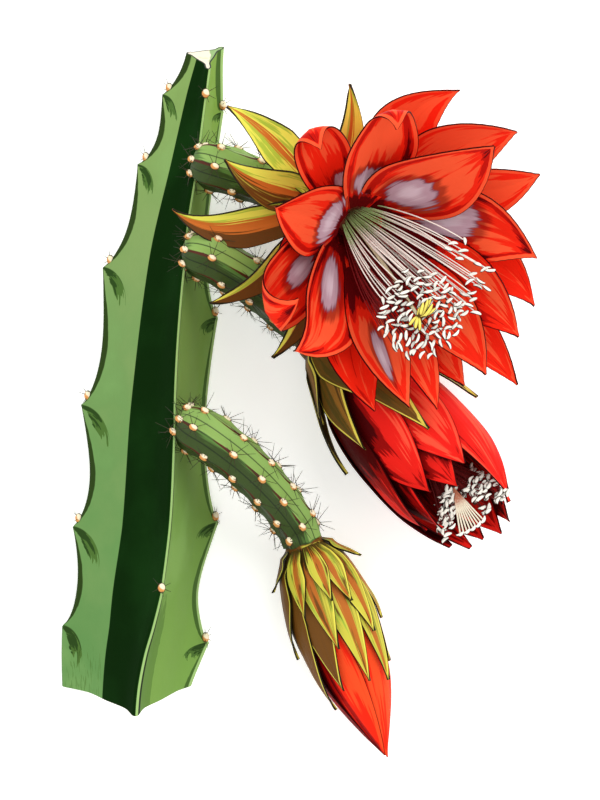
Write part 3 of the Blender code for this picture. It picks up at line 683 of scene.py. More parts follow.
@dataclass(frozen=True)
class BractFinish:
    """Bract: yellow on one side, a brushed orange stripe, green or brown on the other."""

    name: str
    yellow: Colour = (240, 238, 92)
    green: Colour = (178, 202, 66)
    orange: Colour = (206, 112, 40)
    brown: Colour = (104, 62, 18)
    root: Colour = (44, 34, 10)
    line: Colour = (34, 26, 8)
    rim: Colour = (232, 208, 88)
    rim_wide: float = 0.0

    def build(self) -> bpy.types.Material:
        """Return the bract material."""
        make = Finish(self.name)
        t = make.tree
        u, v = t.uv()
        broad, fine = make.fibres(u, v, 2.4, 5.0)
        side = t.total(t.scaled(v, 2.0, 0.5), t.scaled(fine, 1.0, 0.5))
        tint = t.step(t.total(broad, t.scaled(fine, 0.4, 0.5)), 0.50, 0.60)
        near = t.mix(tint, self.yellow, self.green)
        dusk = t.step(t.total(t.value("gloom"), t.scaled(fine, 0.5, 0.5)), 0.42, 0.60)
        far = t.mix(dusk, near, self.brown)
        low = t.step(t.minus(side, t.value("band_low")), -0.05, 0.05)
        high = t.step(t.minus(side, t.value("band_high")), -0.05, 0.05)
        colour = t.mix(low, near, self.orange)
        colour = t.mix(high, colour, far)
        streak = t.step(t.total(t.value("brown"), t.scaled(broad, 1.2, 0.5)), 0.50, 0.62)
        colour = t.mix(streak, colour, self.brown)
        # Dark at the foot, and painted shade where other bracts crowd it.
        foot = t.total(u, t.scaled(fine, 0.55, 0.5), t.scaled(t.value("deep"), -0.25))
        colour = t.mix(t.rest(t.step(foot, 0.08, 0.18)), colour, self.root)
        deep = t.total(t.value("deep"), t.scaled(fine, 0.6, 0.5))
        colour = t.mix(t.scaled(t.step(deep, 0.42, 0.66), 0.85), colour, self.root)
        edge = t.value("edge")
        if self.rim_wide:
            left = t.rest(t.step(v, 0.45, 0.55))
            width = t.total(edge, t.scaled(broad, 1.2, 0.5), t.scaled(left, self.rim_wide * 0.5))
            inside = t.step(width, self.rim_wide - 0.12, self.rim_wide + 0.12)
            rim = t.times(t.rest(inside), t.step(u, 0.05, 0.14))
            colour = t.mix(rim, colour, self.rim)
        outline = t.rest(t.step(edge, 0.16, 0.34))
        colour = t.mix(outline, colour, self.line)
        rough = t.total(0.42, t.scaled(broad, 0.2))
        return make.end(colour, rough, fine, 0.25, 0.12)


@dataclass(frozen=True)
class StemFinish:
    """Waxy stem skin: light wings, painted shadow in the channel and brushed hollows, lined rib
    edges.
    """

    name: str = "stem_skin"
    light: Colour = (130, 158, 96)
    blue: Colour = (98, 144, 82)
    warm: Colour = (128, 166, 74)
    # Painted shadow of the channel.
    dark: Colour = (12, 38, 8)
    soft: Colour = (18, 50, 14)
    # Painted shade of the hollows under the areoles, darkest in the next colour.
    hollow: Colour = (78, 112, 50)
    deep: Colour = (46, 72, 30)
    # Painted shade along a rib's dipping edge.
    margin: Colour = (46, 66, 26)
    rim: Colour = (160, 196, 120)
    line: Colour = (20, 34, 14)

    def build(self) -> bpy.types.Material:
        """Return the stem's skin material."""
        make = Finish(self.name)
        t = make.tree
        place = t.place()
        cloud = t.noise(place, 26.0, 4.0)
        grain = t.noise(place, 900.0, 3.0)
        brush = t.streaks(place, (1100.0, 130.0, 1100.0))
        height = t.parts(place)[1]
        wash = t.total(t.scaled(height, -4.0), t.scaled(cloud, 1.6))
        colour = t.mix(t.step(wash, 0.35, 1.25), self.light, self.blue)
        colour = t.mix(t.value("warm"), colour, self.warm)
        colour = t.mix(t.scaled(t.step(cloud, 0.52, 0.72), 0.25), colour, self.rim)
        foot = t.total(t.value("foot"), t.scaled(brush, 1.3, 0.5))
        colour = t.mix(t.scaled(t.step(foot, 0.48, 0.62), 0.55), colour, self.hollow)
        # Painted shade in the hollow under each areole, darker near its start.
        hollow, core = self.crescent(t)
        colour = t.mix(hollow, colour, self.hollow)
        colour = t.mix(core, colour, self.deep)
        colour = self.edges(t, colour, brush)
        around = t.uv()[0]
        # The channel on the middle rib's flank, painted in shadow.
        start = t.step(t.minus(around, t.value("shadow_start")), -0.0006, 0.0006)
        end = t.step(t.minus(around, t.value("shadow_end")), -0.0006, 0.0006)
        shaded = t.mix(t.step(cloud, 0.45, 0.75), self.dark, self.soft)
        colour = t.mix(t.minus(start, end), colour, shaded)
        rough = t.total(0.52, t.scaled(cloud, 0.2), t.scaled(t.minus(start, end), 0.4))
        relief = t.total(t.scaled(grain, 0.3), cloud)
        return make.end(colour, rough, relief, 0.3, 0.02)

    def crescent(self, t: Tree) -> tuple[Socket, Socket]:
        """Return masks of the brushed painted shade in the hollow under each areole and its darker
        core.

        Args:
            t: The material's tree.

        Returns:
            Mask of the hollow's painted shade, which follows an arc, and mask of the strokes near
            its start.
        """
        x = t.value("hollow_in")
        y = t.value("hollow_down")
        reach = t.math("SQRT", t.total(t.times(x, x), t.times(y, y)))
        turn = t.math("ARCTAN2", y, x)
        strokes = t.noise(t.vector(t.scaled(reach, 11.0), t.scaled(turn, 1.1), t.value("rung")),
                          1.0, 2.0)
        at = t.scaled(turn, 0.95, 0.52)
        wide = t.total(0.50, t.times(t.times(at, at), -0.46),
                       t.value("fill"), t.scaled(strokes, 0.25, 0.5))
        outer = t.rest(t.step(reach, 0.97, 1.01))
        inner = t.step(t.total(reach, wide), 1.0, 1.04)
        end = t.step(t.total(turn, t.scaled(strokes, 2.2, 0.5)), -0.12, -0.02)
        mask = t.times(t.times(outer, inner), end)
        mask = t.times(mask, t.step(t.value("hollow_on"), 0.90, 0.98))
        start = t.step(t.total(turn, t.scaled(strokes, 4.0, 0.5)), 0.62, 0.74)
        return mask, t.times(mask, start)

    def edges(self, t: Tree, colour: object, brush: object) -> Socket:
        """Return the colour with each rib's rim, painted margin shade and thin outline drawn on
        it.
        """
        inset = t.value("inset")
        dip = t.value("dip")
        ragged = t.scaled(brush, 0.7, 0.5)
        rim_end = t.value("rim_end")
        # Painted shade along the margin, where the rib dips between shoulders.
        wide = t.total(rim_end, t.times(dip, t.value("margin")), ragged)
        dark = t.step(t.minus(wide, inset), -0.2, 0.2)
        dark = t.times(dark, t.step(dip, 0.05, 0.14))
        margin = t.mix(t.times(t.value("fill"), 0.8), self.margin, self.hollow)
        colour = t.mix(dark, colour, margin)
        thin = t.times(t.value("groove"), t.rest(t.step(t.minus(inset, rim_end), 2.8, 3.2)))
        colour = t.mix(thin, colour, self.line)
        bright = t.step(t.minus(rim_end, inset), -0.06, 0.06)
        colour = t.mix(bright, colour, self.rim)
        outline = t.times(t.value("outline"), t.rest(t.step(inset, 0.32, 0.46)))
        return t.mix(outline, colour, self.line)


@dataclass(frozen=True)
class FleshFinish:
    """Cut flesh: cream, turning green towards the right rib of the upper cut."""

    name: str = "cut_flesh"
    cream: Colour = (240, 230, 206)
    green: Colour = (142, 176, 112)
    vein: Colour = (214, 204, 160)
    turn_at: float = -0.0358
    above: float = 0.10

    def build(self) -> bpy.types.Material:
        """Return the flesh material."""
        make = Finish(self.name)
        t = make.tree
        place = t.place()
        grain = t.noise(place, 260.0, 3.0)
        across, height, _ = t.parts(place)
        edge = t.total(across, t.scaled(grain, 0.003, 0.5))
        side = t.step(edge, self.turn_at - 0.0004, self.turn_at + 0.0004)
        side = t.times(side, t.step(height, self.above, self.above + 0.01))
        colour = t.mix(t.scaled(t.step(grain, 0.55, 0.7), 0.5), self.cream, self.vein)
        colour = t.mix(side, colour, self.green)
        return make.end(colour, t.total(0.5, t.scaled(grain, 0.2)), grain, 0.4, 0.2)


@dataclass(frozen=True)
class TubeFinish:
    """Flower tube skin: ribs in painted light above and painted shade below, with red-brown lines
    on them.
    """

    name: str
    ribs: int
    light: Colour = (140, 176, 90)
    green: Colour = (90, 128, 56)
    dark: Colour = (56, 76, 28)
    line: Colour = (20, 34, 12)
    ridge: Colour = (84, 36, 18)

    def build(self) -> bpy.types.Material:
        """Return the tube material."""
        make = Finish(self.name)
        t = make.tree
        u, v = t.uv()
        broad, fine = make.fibres(u, v, 5.0, 26.0)
        around = t.math("FRACT", t.math("ADD", t.scaled(v, float(self.ribs)), 0.5))
        near = t.math("ABSOLUTE", t.minus(around, 0.5))
        # Three tones of painted light and shade, by how the skin faces the light.
        shade = t.total(t.value("shade"), t.scaled(broad, 0.22, 0.5), t.scaled(fine, 0.20, 0.5))
        colour = t.mix(t.step(shade, 0.19, 0.24), self.light, self.green)
        colour = t.mix(t.step(shade, 0.33, 0.39), colour, self.dark)
        groove = t.times(t.step(near, 0.452, 0.474), 0.75)
        colour = t.mix(groove, colour, self.line)
        wide = t.total(near, t.scaled(fine, 0.03, 0.5))
        edge = t.rest(t.step(wide, 0.030, 0.046))
        colour = t.mix(t.times(edge, 0.45), colour, self.line)
        ridge = t.step(t.minus(t.scaled(t.value("ridge"), 0.085), wide), 0.0, 0.012)
        colour = t.mix(ridge, colour, self.ridge)
        return make.end(colour, t.total(0.44, t.scaled(broad, 0.2)), fine, 0.3, 0.2)


@dataclass(frozen=True)
class PlainFinish:
    """Small part coloured from its root to its tip, with grain, relief and a side in painted
    shade.
    """

    name: str
    root: Colour
    tip: Colour
    fleck: Colour
    under: Colour
    change: tuple[float, float] = (0.2, 0.8)
    dusk: tuple[float, float] = (0.35, 0.65)
    grain: float = 1500.0
    amount: float = 0.3
    rough: float = 0.5
    depth: float = 0.15

    def build(self) -> bpy.types.Material:
        """Return the material."""
        make = Finish(self.name)
        t = make.tree
        grain = t.noise(t.place(), self.grain, 3.0)
        tip = t.total(t.value("tip"), t.scaled(grain, 0.3, 0.5))
        colour = t.mix(t.step(tip, *self.change), self.root, self.tip)
        colour = t.mix(t.scaled(t.step(grain, 0.5, 0.7), self.amount), colour, self.fleck)
        # Painted shade where the part turns from the light or lies behind others.
        colour = t.mix(t.step(t.value("shade"), *self.dusk), colour, self.under)
        rough = t.total(self.rough, t.scaled(grain, 0.15))
        return make.end(colour, rough, grain, self.depth, 0.25)


# Stem


@dataclass
class Stem:
    """The cut, three-ribbed stem with its areoles and spines; sizes in threes go by rib."""

    keys: tuple = (
        (-132.0, -67.6, 31.4, 87.5, 17.0), (-116.0, -66.9, 32.1, 86.6, 17.7),
        (-102.0, -65.3, 33.7, 85.0, 19.3), (-90.0, -63.5, 34.7, 82.4, 21.2),
        (-76.0, -62.3, 34.8, 79.0, 22.9), (-47.0, -58.7, 34.2, 78.4, 22.7),
        (0.0, -57.2, 32.1, 77.4, 21.7), (55.0, -52.9, 27.2, 76.6, 18.7),
        (96.0, -46.0, 19.6, 76.0, 13.6), (122.0, -41.6, 14.6, 75.5, 10.2),
        (136.0, -38.9, 10.8, 75.5, 7.6), (148.0, -36.6, 8.6, 75.5, 6.1))
    turns: tuple = (0.0, 120.0, -120.0)
    shoulders: tuple = (
        (150.0, 94.0, 58.0, -9.0, -75.5, -140.0),
        (150.0, 122.0, 94.0, 53.0, -2.0, -50.5, -90.0),
        (150.0, 115.0, 33.0, -49.0, -97.0, -150.0))
    depths: tuple = (2.4, 5.8, 7.0)
    hollows: tuple = ((10.4, 13.2), (10.4, 13.2), (12.0, 5.4))
    rims: tuple = (0.85, 0.0, 2.3)
    margins: tuple = (0.0, 2.9, 3.2)
    straight: float = 118.0
    areoles: tuple = (
        (1, 124.6), (1, 96.8), (1, 55.8), (1, 1.6), (1, -47.4), (0, 122.0), (0, -74.6),
        (2, 117.6), (2, 35.2), (2, -46.6), (2, -95.0))
    columns: int = 180
    rows: int = 330
    ends: tuple = (-131.0, 147.0)
    valley: float = 0.40
    rib_tip: float = 1.2
    cuts: tuple = ((141.2, 0.5, 1.0), (-113.5, 0.263, -1.0))
    rind: float = 0.6
    knots: int = 18
    pad: tuple = (1.6, 2.1, 1.4)
    spines: int = 6
    spine: tuple = (2.8, 4.8)
    seed: int = 3

    @staticmethod
    def arch(share: Array, lean: float) -> Array:
        """Return a scallop's relative depth: none at its shoulders, most a little past half."""
        return np.sin(np.pi * share**lean) ** 0.6

    def reach(self, rib: int, y: Array, full: Array) -> Array:
        """Return how far a rib reaches: full at each shoulder and scalloped between them.

        Args:
            rib: Rib number.
            y: Places along the stem.
            full: Full reach at each place.

        Returns:
            The reach in millimetres.
        """
        dip = self.depths[rib] * np.minimum(full / 26.0, 1.0) ** 0.8
        dip = dip * self.arch(self.span(rib, y), 1.45)
        if rib == 2:
            dip = dip * (1.0 - 0.85 * eased(y, self.straight - 6.0, self.straight + 2.0))
        return full - dip

    def span(self, rib: int, y: Array) -> Array:
        """Return the share of the way from each shoulder down to the next."""
        marks = self.shoulders[rib]
        share = np.zeros(len(y))
        for high, low in zip(marks, marks[1:]):
            share = np.where((y >= low) & (y <= high), (high - y) / (high - low), share)
        return share

    def control(self, y: Array) -> Array:
        """Return the section's control points, six to a rib, at each place along the stem."""
        x, full, middle, z = keyed(self.keys, y).T
        points = []
        for rib in range(3):
            angle = np.radians(middle + self.turns[rib])
            out = np.stack([np.cos(angle), 0 * angle, np.sin(angle)], 1)
            side = np.stack([-np.sin(angle), 0 * angle, np.cos(angle)], 1)
            far = self.reach(rib, y, full)
            tip = np.minimum(self.rib_tip, 0.1 * full + 0.2)
            centre = np.stack([x, y, z], 1)
            for away, across in (
                    (self.valley * full * 0.5, -self.valley * full * 0.866),
                    (0.56 * full, -0.125 * full), (far - tip, -tip), (far, 0 * far),
                    (far - tip, tip), (0.56 * full, 0.125 * full)):
                points.append(centre + out * away[:, None] + side * across[:, None])
        return np.stack(points, 1)

    def surface(self, u: Array, v: Array) -> Array:
        """Return points of the skin for the share around and along."""
        y = np.interp(v, (-1.0, 1.0), self.ends)
        knots = self.control(y)
        t = u * self.knots
        i = np.floor(t).astype(int) % self.knots
        f = (t - np.floor(t))[:, None]
        pick = np.arange(len(u))
        p0, p1, p2, p3 = (knots[pick, (i + k) % self.knots] for k in (-1, 0, 1, 2))
        sharp = np.isin(i, (2, 3, 8, 9, 14, 15))[:, None]
        ease = np.where(sharp, 0.5, 0.42)
        most = 2.0 * np.linalg.norm(p2 - p1, axis=1)
        slopes = [way * ease * np.minimum(1.0, most / np.linalg.norm(way, axis=1))[:, None]
                  for way in (p2 - p0, p3 - p1)]
        points = cubic(f, p1, p2, *slopes)
        points[:, 2] = np.maximum(points[:, 2], 0.0)
        return points

    def crest(self, rib: int, y: float) -> tuple[Array, Array]:
        """Return a point on a rib's edge and the direction out of it."""
        at = np.array([y])
        x, full, middle, z = keyed(self.keys, at)[0]
        angle = math.radians(middle + self.turns[rib])
        out = np.array([math.cos(angle), 0.0, math.sin(angle)])
        far = self.reach(rib, at, np.array([full]))[0]
        return np.array([x, y, z]) + out * far, out

    def build(self) -> None:
        """Make the skin, the areoles and the spines."""
        self.build_skin()
        self.build_areoles()

    def build_skin(self) -> None:
        """Make the skin, cut it at both ends and close the cuts."""
        skin = sheet("stem_skin", self.columns, self.rows, self.surface, self.marks)
        close_seam(skin)
        skin.data.materials.append(StemFinish().build())
        skin.data.materials.append(FleshFinish().build())
        skin.data.materials.append(PlainFinish(
            "cut_rind", (20, 34, 14), (20, 34, 14), (40, 60, 26), (20, 34, 14)).build())
        for y, slope, way in self.cuts:
            self.cut_end(skin, y, slope, way)
        dress(skin, skin.data.materials[0], "stem")

    def cut_end(self, skin: Piece, y: float, slope: float, way: float) -> None:
        """Cut one end by a sloping plane and close it with flesh inside a thin rind.

        Args:
            skin: The stem's skin.
            y: Where the plane meets the middle of the floor.
            slope: How much it leans over with height.
            way: 1 for the top end, -1 for the foot.
        """
        normal = Vector((0.0, 1.0, slope)).normalized() * way
        with editing(skin, "SELECT"):
            bpy.ops.mesh.select_mode(type="FACE")
            bpy.ops.mesh.bisect(
                plane_co=(PLACE[0] * MM, (y + PLACE[1]) * MM, 0.0), plane_no=normal,
                use_fill=True, clear_outer=True, clear_inner=False, threshold=0.001 * MM)
            bpy.ops.mesh.select_all(action="DESELECT")
        same_way = 0.98
        for face in skin.data.polygons:
            face.select = face.normal.dot(normal) > same_way and len(face.vertices) > 8
        bpy.ops.object.mode_set(mode="EDIT")
        bpy.ops.mesh.inset(thickness=self.rind * MM, depth=0.0)
        bpy.ops.object.mode_set(mode="OBJECT")
        for face in skin.data.polygons:
            if face.normal.dot(normal) > same_way:
                face.material_index = 1 if face.select else 2
                face.use_smooth = False
        bpy.ops.object.mode_set(mode="EDIT")
        bpy.ops.mesh.quads_convert_to_tris(quad_method="BEAUTY", ngon_method="BEAUTY")
        bpy.ops.object.mode_set(mode="OBJECT")

    def marks(self, u: Array, v: Array) -> dict[str, Array | float]:
        """Return the distances and masks that the skin's finish draws with.

        Args:
            u: Share around the section.
            v: Place along the stem, -1 to 1.

        Returns:
            Numbers for each vertex: millimetres from the rib's edge and below the last
            shoulder, how deep the scallop is, and where each rib's lines run.
        """
        points = self.surface(u, v)
        y = points[:, 1]
        x, full, middle, z = keyed(self.keys, y).T
        away = np.linalg.norm(points - np.stack([x, y, z], 1), axis=1)
        t = u * self.knots
        rib_of = np.clip((t // 6.0).astype(int), 0, 2)
        found = {name: np.zeros(len(u)) for name in (
            "inset", "dip", "hollow_in", "hollow_down", "hollow_on", "rim_end", "margin", "groove",
            "outline", "fill", "rung")}
        for rib in range(3):
            mine = rib_of == rib
            far = self.reach(rib, y, full)
            marks = np.array([mark for mark in self.shoulders[rib] if mark < self.ends[1] + 2.0])
            below = marks[:, None] - y[None, :]
            drop = np.where(below > -4.0, below, 99.0).min(0)
            size = np.clip(full / 30.0, 0.45, 1.0) ** 0.75
            wide, tall = self.hollows[rib]
            inset = np.maximum(far - away, 0.0)
            right_face = (t < 3.0) if rib == 0 else mine
            values = {
                "inset": inset, "dip": self.arch(self.span(rib, y), 1.5),
                "hollow_in": inset / (size * wide), "hollow_down": 1.0 - drop / (size * tall),
                "hollow_on": eased(drop, -3.4, -1.6) * (1.0 - eased(drop, 17.0, 21.0)),
                "rim_end": np.where(right_face, self.rims[rib], -1.0),
                "margin": self.margins[rib], "groove": np.where(rib == 0, right_face, 0.0),
                "outline": 1.0 if rib == 1 else 0.0, "fill": 1.0 if rib == 2 else 0.0,
                "rung": np.floor(y / 25.0) * 3.7}
            if rib == 0:
                values["hollow_on"] = 0.0
            for name, value in values.items():
                found[name] = np.where(mine, value, found[name])
        found["foot"] = (eased(-y, 58.0, 100.0) * ((t > 0.6) & (t < 2.75))
                         + 0.45 * eased(-y, 84.0, 108.0) * ((t > 6.4) & (t < 8.0)))
        warm = np.where((t < 3.0) | (t > 14.5), 0.75, 0.08) + 0.25 * eased(y, 40.0, 130.0)
        found["warm"] = np.clip(warm, 0.0, 1.0)
        # Where the channel's painted shadow starts and ends around the stem.
        found["shadow_start"] = np.full(len(u), 3.06 / self.knots)
        found["shadow_end"] = (6.0 + 0.25 * eased(-y, -60.0, 60.0)) / self.knots
        return found

    def build_areoles(self) -> None:
        """Make the woolly areoles and the few short spines on each."""
        kit, spines = AreoleKit(), []
        rng = random.Random(self.seed)
        woolly = []
        for rib, y in self.areoles:
            spot, out = self.crest(rib, y)
            if spot[2] < 4.0:
                spot = spot + np.array([0.0, 0.0, 2.2])
                out = unit(np.array([out[0], 0.0, 0.25]))
            along = np.array([0.0, -1.0, 0.0])
            woolly.append(kit.pad(spot + out * 0.3, out, along, self.pad, rng))
            spines += kit.fan(spot + out * 0.4, out, along, self.spines, self.spine, rng)
        dress(join("stem_areoles", woolly), kit.wool(), "stem")
        dress(join("stem_spines", spines), kit.horn(), "stem")
        kit.discard()


class AreoleKit:
    """Templates of an areole's pad and spine, and the ways to place them."""

    light: Array = unit(np.array([0.45, 0.55, 0.70]))
    thick: float = 0.15
    clear: float = 0.4

    def __init__(self) -> None:
        """Model one pad and one spine."""
        deselect()
        bpy.ops.mesh.primitive_uv_sphere_add(segments=12, ring_count=7, radius=MM)
        self.pad_shape = bpy.context.active_object
        points = read_points(self.pad_shape)
        turn = np.arctan2(points[:, 1], points[:, 0])
        wool = 1.0 + 0.02 * np.sin(5 * turn + points[:, 2] * 3000)
        flat = (points * wool[:, None]).astype(np.float32)
        self.pad_shape.data.vertices.foreach_set("co", flat.ravel())
        deselect()
        bpy.ops.mesh.primitive_cone_add(vertices=5, radius1=MM, radius2=MM * 0.5, depth=MM,
                                        location=(0.0, 0.0, MM / 2.0))
        bpy.ops.object.transform_apply(location=True)
        self.spine_shape = bpy.context.active_object
        points = read_points(self.spine_shape)
        paint(self.spine_shape, tip=points[:, 2] / MM, shade=0.0)

    def pad(self, spot: Array, out: Array, along: Array, size: Sequence[float],
            rng: random.Random) -> Piece:
        """Place a pad, its long way along the rib, painted pale towards the light and shaded at
        its foot.
        """
        across = unit(np.cross(out, along))
        ahead = np.cross(across, out)
        basis = Matrix((across, ahead, out)).transposed().to_4x4()
        place = Matrix.Translation(Vector(spot)) @ basis @ Matrix.Diagonal((*size, 1.0))
        place = place @ Matrix.Rotation(rng.uniform(-0.3, 0.3), 4, "Z")
        pad = stamp(self.pad_shape, place)
        # Painted light and shade: cream towards the light, tan away from it, dark round the foot.
        away = unit(read_design(pad) - spot)
        foot = 1.0 - eased(np.maximum(away @ out, away[:, 2]), 0.12, 0.52)
        paint(pad, tip=0.5 + 0.6 * away @ self.light, shade=foot)
        return pad

    def fan(self, spot: Array, out: Array, along: Array, count: int,
            length: tuple[float, float], rng: random.Random) -> list[Piece]:
        """Place spines that fan out of one areole.

        Args:
            spot: Middle of the areole.
            out: Direction away from the plant.
            along: Direction along the rib.
            count: Number of spines.
            length: Shortest and longest.
            rng: Source of the spread.

        Returns:
            The spines that keep clear of the floor.
        """
        across = unit(np.cross(out, along))
        ahead = np.cross(across, out)
        spines = []
        for k in range(count):
            angle = 2.0 * math.pi * (k + rng.uniform(-0.3, 0.3)) / count
            lean = math.radians(rng.uniform(48.0, 84.0))
            way = out * math.cos(lean) + (
                ahead * math.cos(angle) + across * math.sin(angle)) * math.sin(lean)
            reach = rng.uniform(*length)
            if spot[2] + way[2] * reach < self.clear:
                continue
            root = spot + (way - out * (way @ out)) * 0.7
            size = (self.thick, self.thick, reach)
            spines.append(stamp(self.spine_shape, aim(root, way, size)))
        return spines

    def wool(self) -> bpy.types.Material:
        """Return the woolly finish of the pads, tan to cream by painted light, dark in painted
        shade.
        """
        return PlainFinish(
            "areole_wool", (226, 156, 84), (255, 242, 208), (240, 206, 150), (60, 34, 14),
            change=(0.68, 0.90), dusk=(0.18, 0.40), grain=500.0, amount=0.12, rough=0.8,
            depth=0.12).build()

    def horn(self) -> bpy.types.Material:
        """Return the finish of the spines."""
        return PlainFinish("spine_horn", (58, 48, 24), (36, 42, 20), (84, 76, 40),
                           (40, 40, 20), rough=0.45).build()

    def discard(self) -> None:
        """Remove the two templates."""
        bpy.data.objects.remove(self.pad_shape)
        bpy.data.objects.remove(self.spine_shape)


# Flower tubes


@dataclass
class FlowerTube:
    """A ribbed green flower tube with areoles and fans of bristles."""

    name: str
    node: str
    path: tuple
    axis: tuple
    rows: int
    bristle: tuple[float, float]
    seed: int
    radii: tuple[float, float] = (9.3, 7.8)
    nose: float = 4.2
    ribs: int = 7
    columns: int = 112
    steps: int = 90
    nose_share: float = 0.085
    pad: tuple = (1.5, 2.1, 1.2)
    bristles: int = 8
    light: tuple = (0.50, 0.62, 0.50)
    roundness: float = 0.65

    def __post_init__(self) -> None:
        """Lay out the rings, the first ones drawn back into a rounded end."""
        points = along_path(self.path, self.steps)
        self.along, self.first, self.second = carry_frames(points, np.array(self.axis, float))
        share = np.linspace(0.0, 1.0, self.steps + 1)
        back = np.clip(1.0 - share / self.nose_share, 0.0, 1.0)
        self.points = points - self.along[0] * (self.nose * back)[:, None]
        self.radius = np.interp(share, (0.0, 1.0), self.radii) * np.sqrt(1.0 - back**2)

    def away(self, i: Array | int, angle: Array | float) -> Array:
        """Return the directions out of the rings at angles in radians."""
        turn = np.atleast_1d(angle)[:, None]
        return self.first[i] * np.cos(turn) + self.second[i] * np.sin(turn)

    def surface(self, u: Array, v: Array) -> Array:
        """Return points of the ribbed skin, raised under each areole."""
        i = np.rint(u * self.steps).astype(int)
        angle = (v + 1.0) * np.pi
        size = self.radius[i] * (1.07 - 0.13 * np.abs(np.sin(angle * self.ribs / 2.0)) ** 1.3)
        for rib, at in self.spots():
            turn = 2.0 * np.pi * rib / self.ribs
            gap = np.angle(np.exp(1j * (angle - turn)))
            size = size + 0.9 * np.exp(-(gap / 0.22) ** 2 - ((u - at) / 0.045) ** 2) * (
                self.radius[i] > 4.0)
        return self.points[i] + self.away(i, angle) * size[:, None]

    def marks(self, u: Array, v: Array) -> dict[str, Array | float]:
        """Return where the brown lines run up to each areole."""
        ridge = np.zeros(len(u))
        rib_of = np.rint((v + 1.0) / 2.0 * self.ribs).astype(int) % self.ribs
        length = 0.62 / self.rows
        for rib, at in self.spots():
            run = at - u
            near = (rib_of == rib) & (run > 0.0) & (run < length)
            ridge = np.where(near, (1.0 - run / length) ** 0.5, ridge)
        return {"ridge": ridge, "seed": self.seed * 0.37}

    def spots(self) -> list[tuple[int, float]]:
        """Return each areole's rib and share of the length."""
        found = []
        for rib in range(self.ribs):
            for row in range(self.rows):
                share = (row + 0.45 + 0.5 * (rib % 2)) / (self.rows + 0.2)
                if share < 0.96:
                    found.append((rib, share))
        return found

    def build(self) -> None:
        """Make the tube, its areoles and its bristles."""
        tube = sheet(self.name, self.steps, self.columns, self.surface, self.marks)
        close_seam(tube)
        self.cap(tube)
        # Painted shade by how each point faces the light, mostly as the round tube would.
        light = unit(np.array(self.light))
        points = read_design(tube)
        near = np.linalg.norm(points[:, None] - self.points[None], axis=2).argmin(1)
        side = unit(points - self.points[near] + 1e-6)
        facing = self.roundness * side + (1.0 - self.roundness) * read_vectors(tube, "normal")
        paint(tube, shade=0.5 - 0.5 * facing @ light)
        finish = TubeFinish(self.name + "_skin", self.ribs)
        dress(tube, finish.build(), self.node)
        self.build_areoles()

    def build_areoles(self) -> None:
        """Make the areoles, a ring of them round the rounded end too, and their bristles."""
        kit = AreoleKit()
        rng = random.Random(self.seed)
        pads, bristles = [], []
        for rib, at in self.spots() + [(rib, 0.03) for rib in range(self.ribs)]:
            i = int(at * self.steps)
            out = self.away(i, 2.0 * math.pi * rib / self.ribs)[0]
            spot = self.points[i] + out * self.radius[i] * 1.07
            if at < 0.05:
                out = unit(out * 0.8 - self.along[i] * 0.6)
            spot = spot + out * 0.35
            pads.append(kit.pad(spot, out, self.along[i], self.pad, rng))
            bristles += kit.fan(
                spot + out * 0.2, out, self.along[i], self.bristles, self.bristle, rng)
        dress(join(self.name + "_areoles", pads), kit.wool(), self.node)
        dress(join(self.name + "_bristles", bristles), kit.horn(), self.node)
        kit.discard()

    def cap(self, tube: Piece) -> None:
        """Close the tube's open end."""
        with editing(tube, "DESELECT"):
            bpy.ops.mesh.select_mode(type="EDGE")
            bpy.ops.mesh.select_non_manifold()
            bpy.ops.mesh.fill_holes(sides=0)
            bpy.ops.mesh.select_all(action="SELECT")
            bpy.ops.mesh.normals_make_consistent(inside=False)


# Flowers


@dataclass
class FlowerAxis:
    """A flower's own frame: its origin, its axis and two directions across it."""

    origin: Sequence[float]
    axis: Sequence[float]
    across: Sequence[float] = (1.0, 0.0, 0.0)

    def __post_init__(self) -> None:
        """Work out the three unit directions."""
        self.start = np.array(self.origin, float)
        self.along = unit(np.array(self.axis, float))
        side = np.array(self.across, float)
        self.first = unit(side - self.along * side.dot(self.along))
        self.second = np.cross(self.along, self.first)

    def out(self, turn: Array | float) -> Array:
        """Return the unit directions away from the axis at turns in degrees."""
        angle = np.radians(np.atleast_1d(turn))[:, None]
        return self.first * np.cos(angle) + self.second * np.sin(angle)

    def at(self, along: Array | float, radius: Array | float = 0.0,
           turn: Array | float = 0.0) -> Array:
        """Return points at distances along the axis and radii from it."""
        s = np.atleast_1d(np.asarray(along, float))[:, None]
        r = np.atleast_1d(np.asarray(radius, float))[:, None]
        return self.start + self.along * s + self.out(turn) * r

    def inside(self, along: float, right: float, near: float) -> Array:
        """Return the point at distances along the axis and in its two cross directions."""
        return self.start + self.along * along + self.first * right + self.second * near


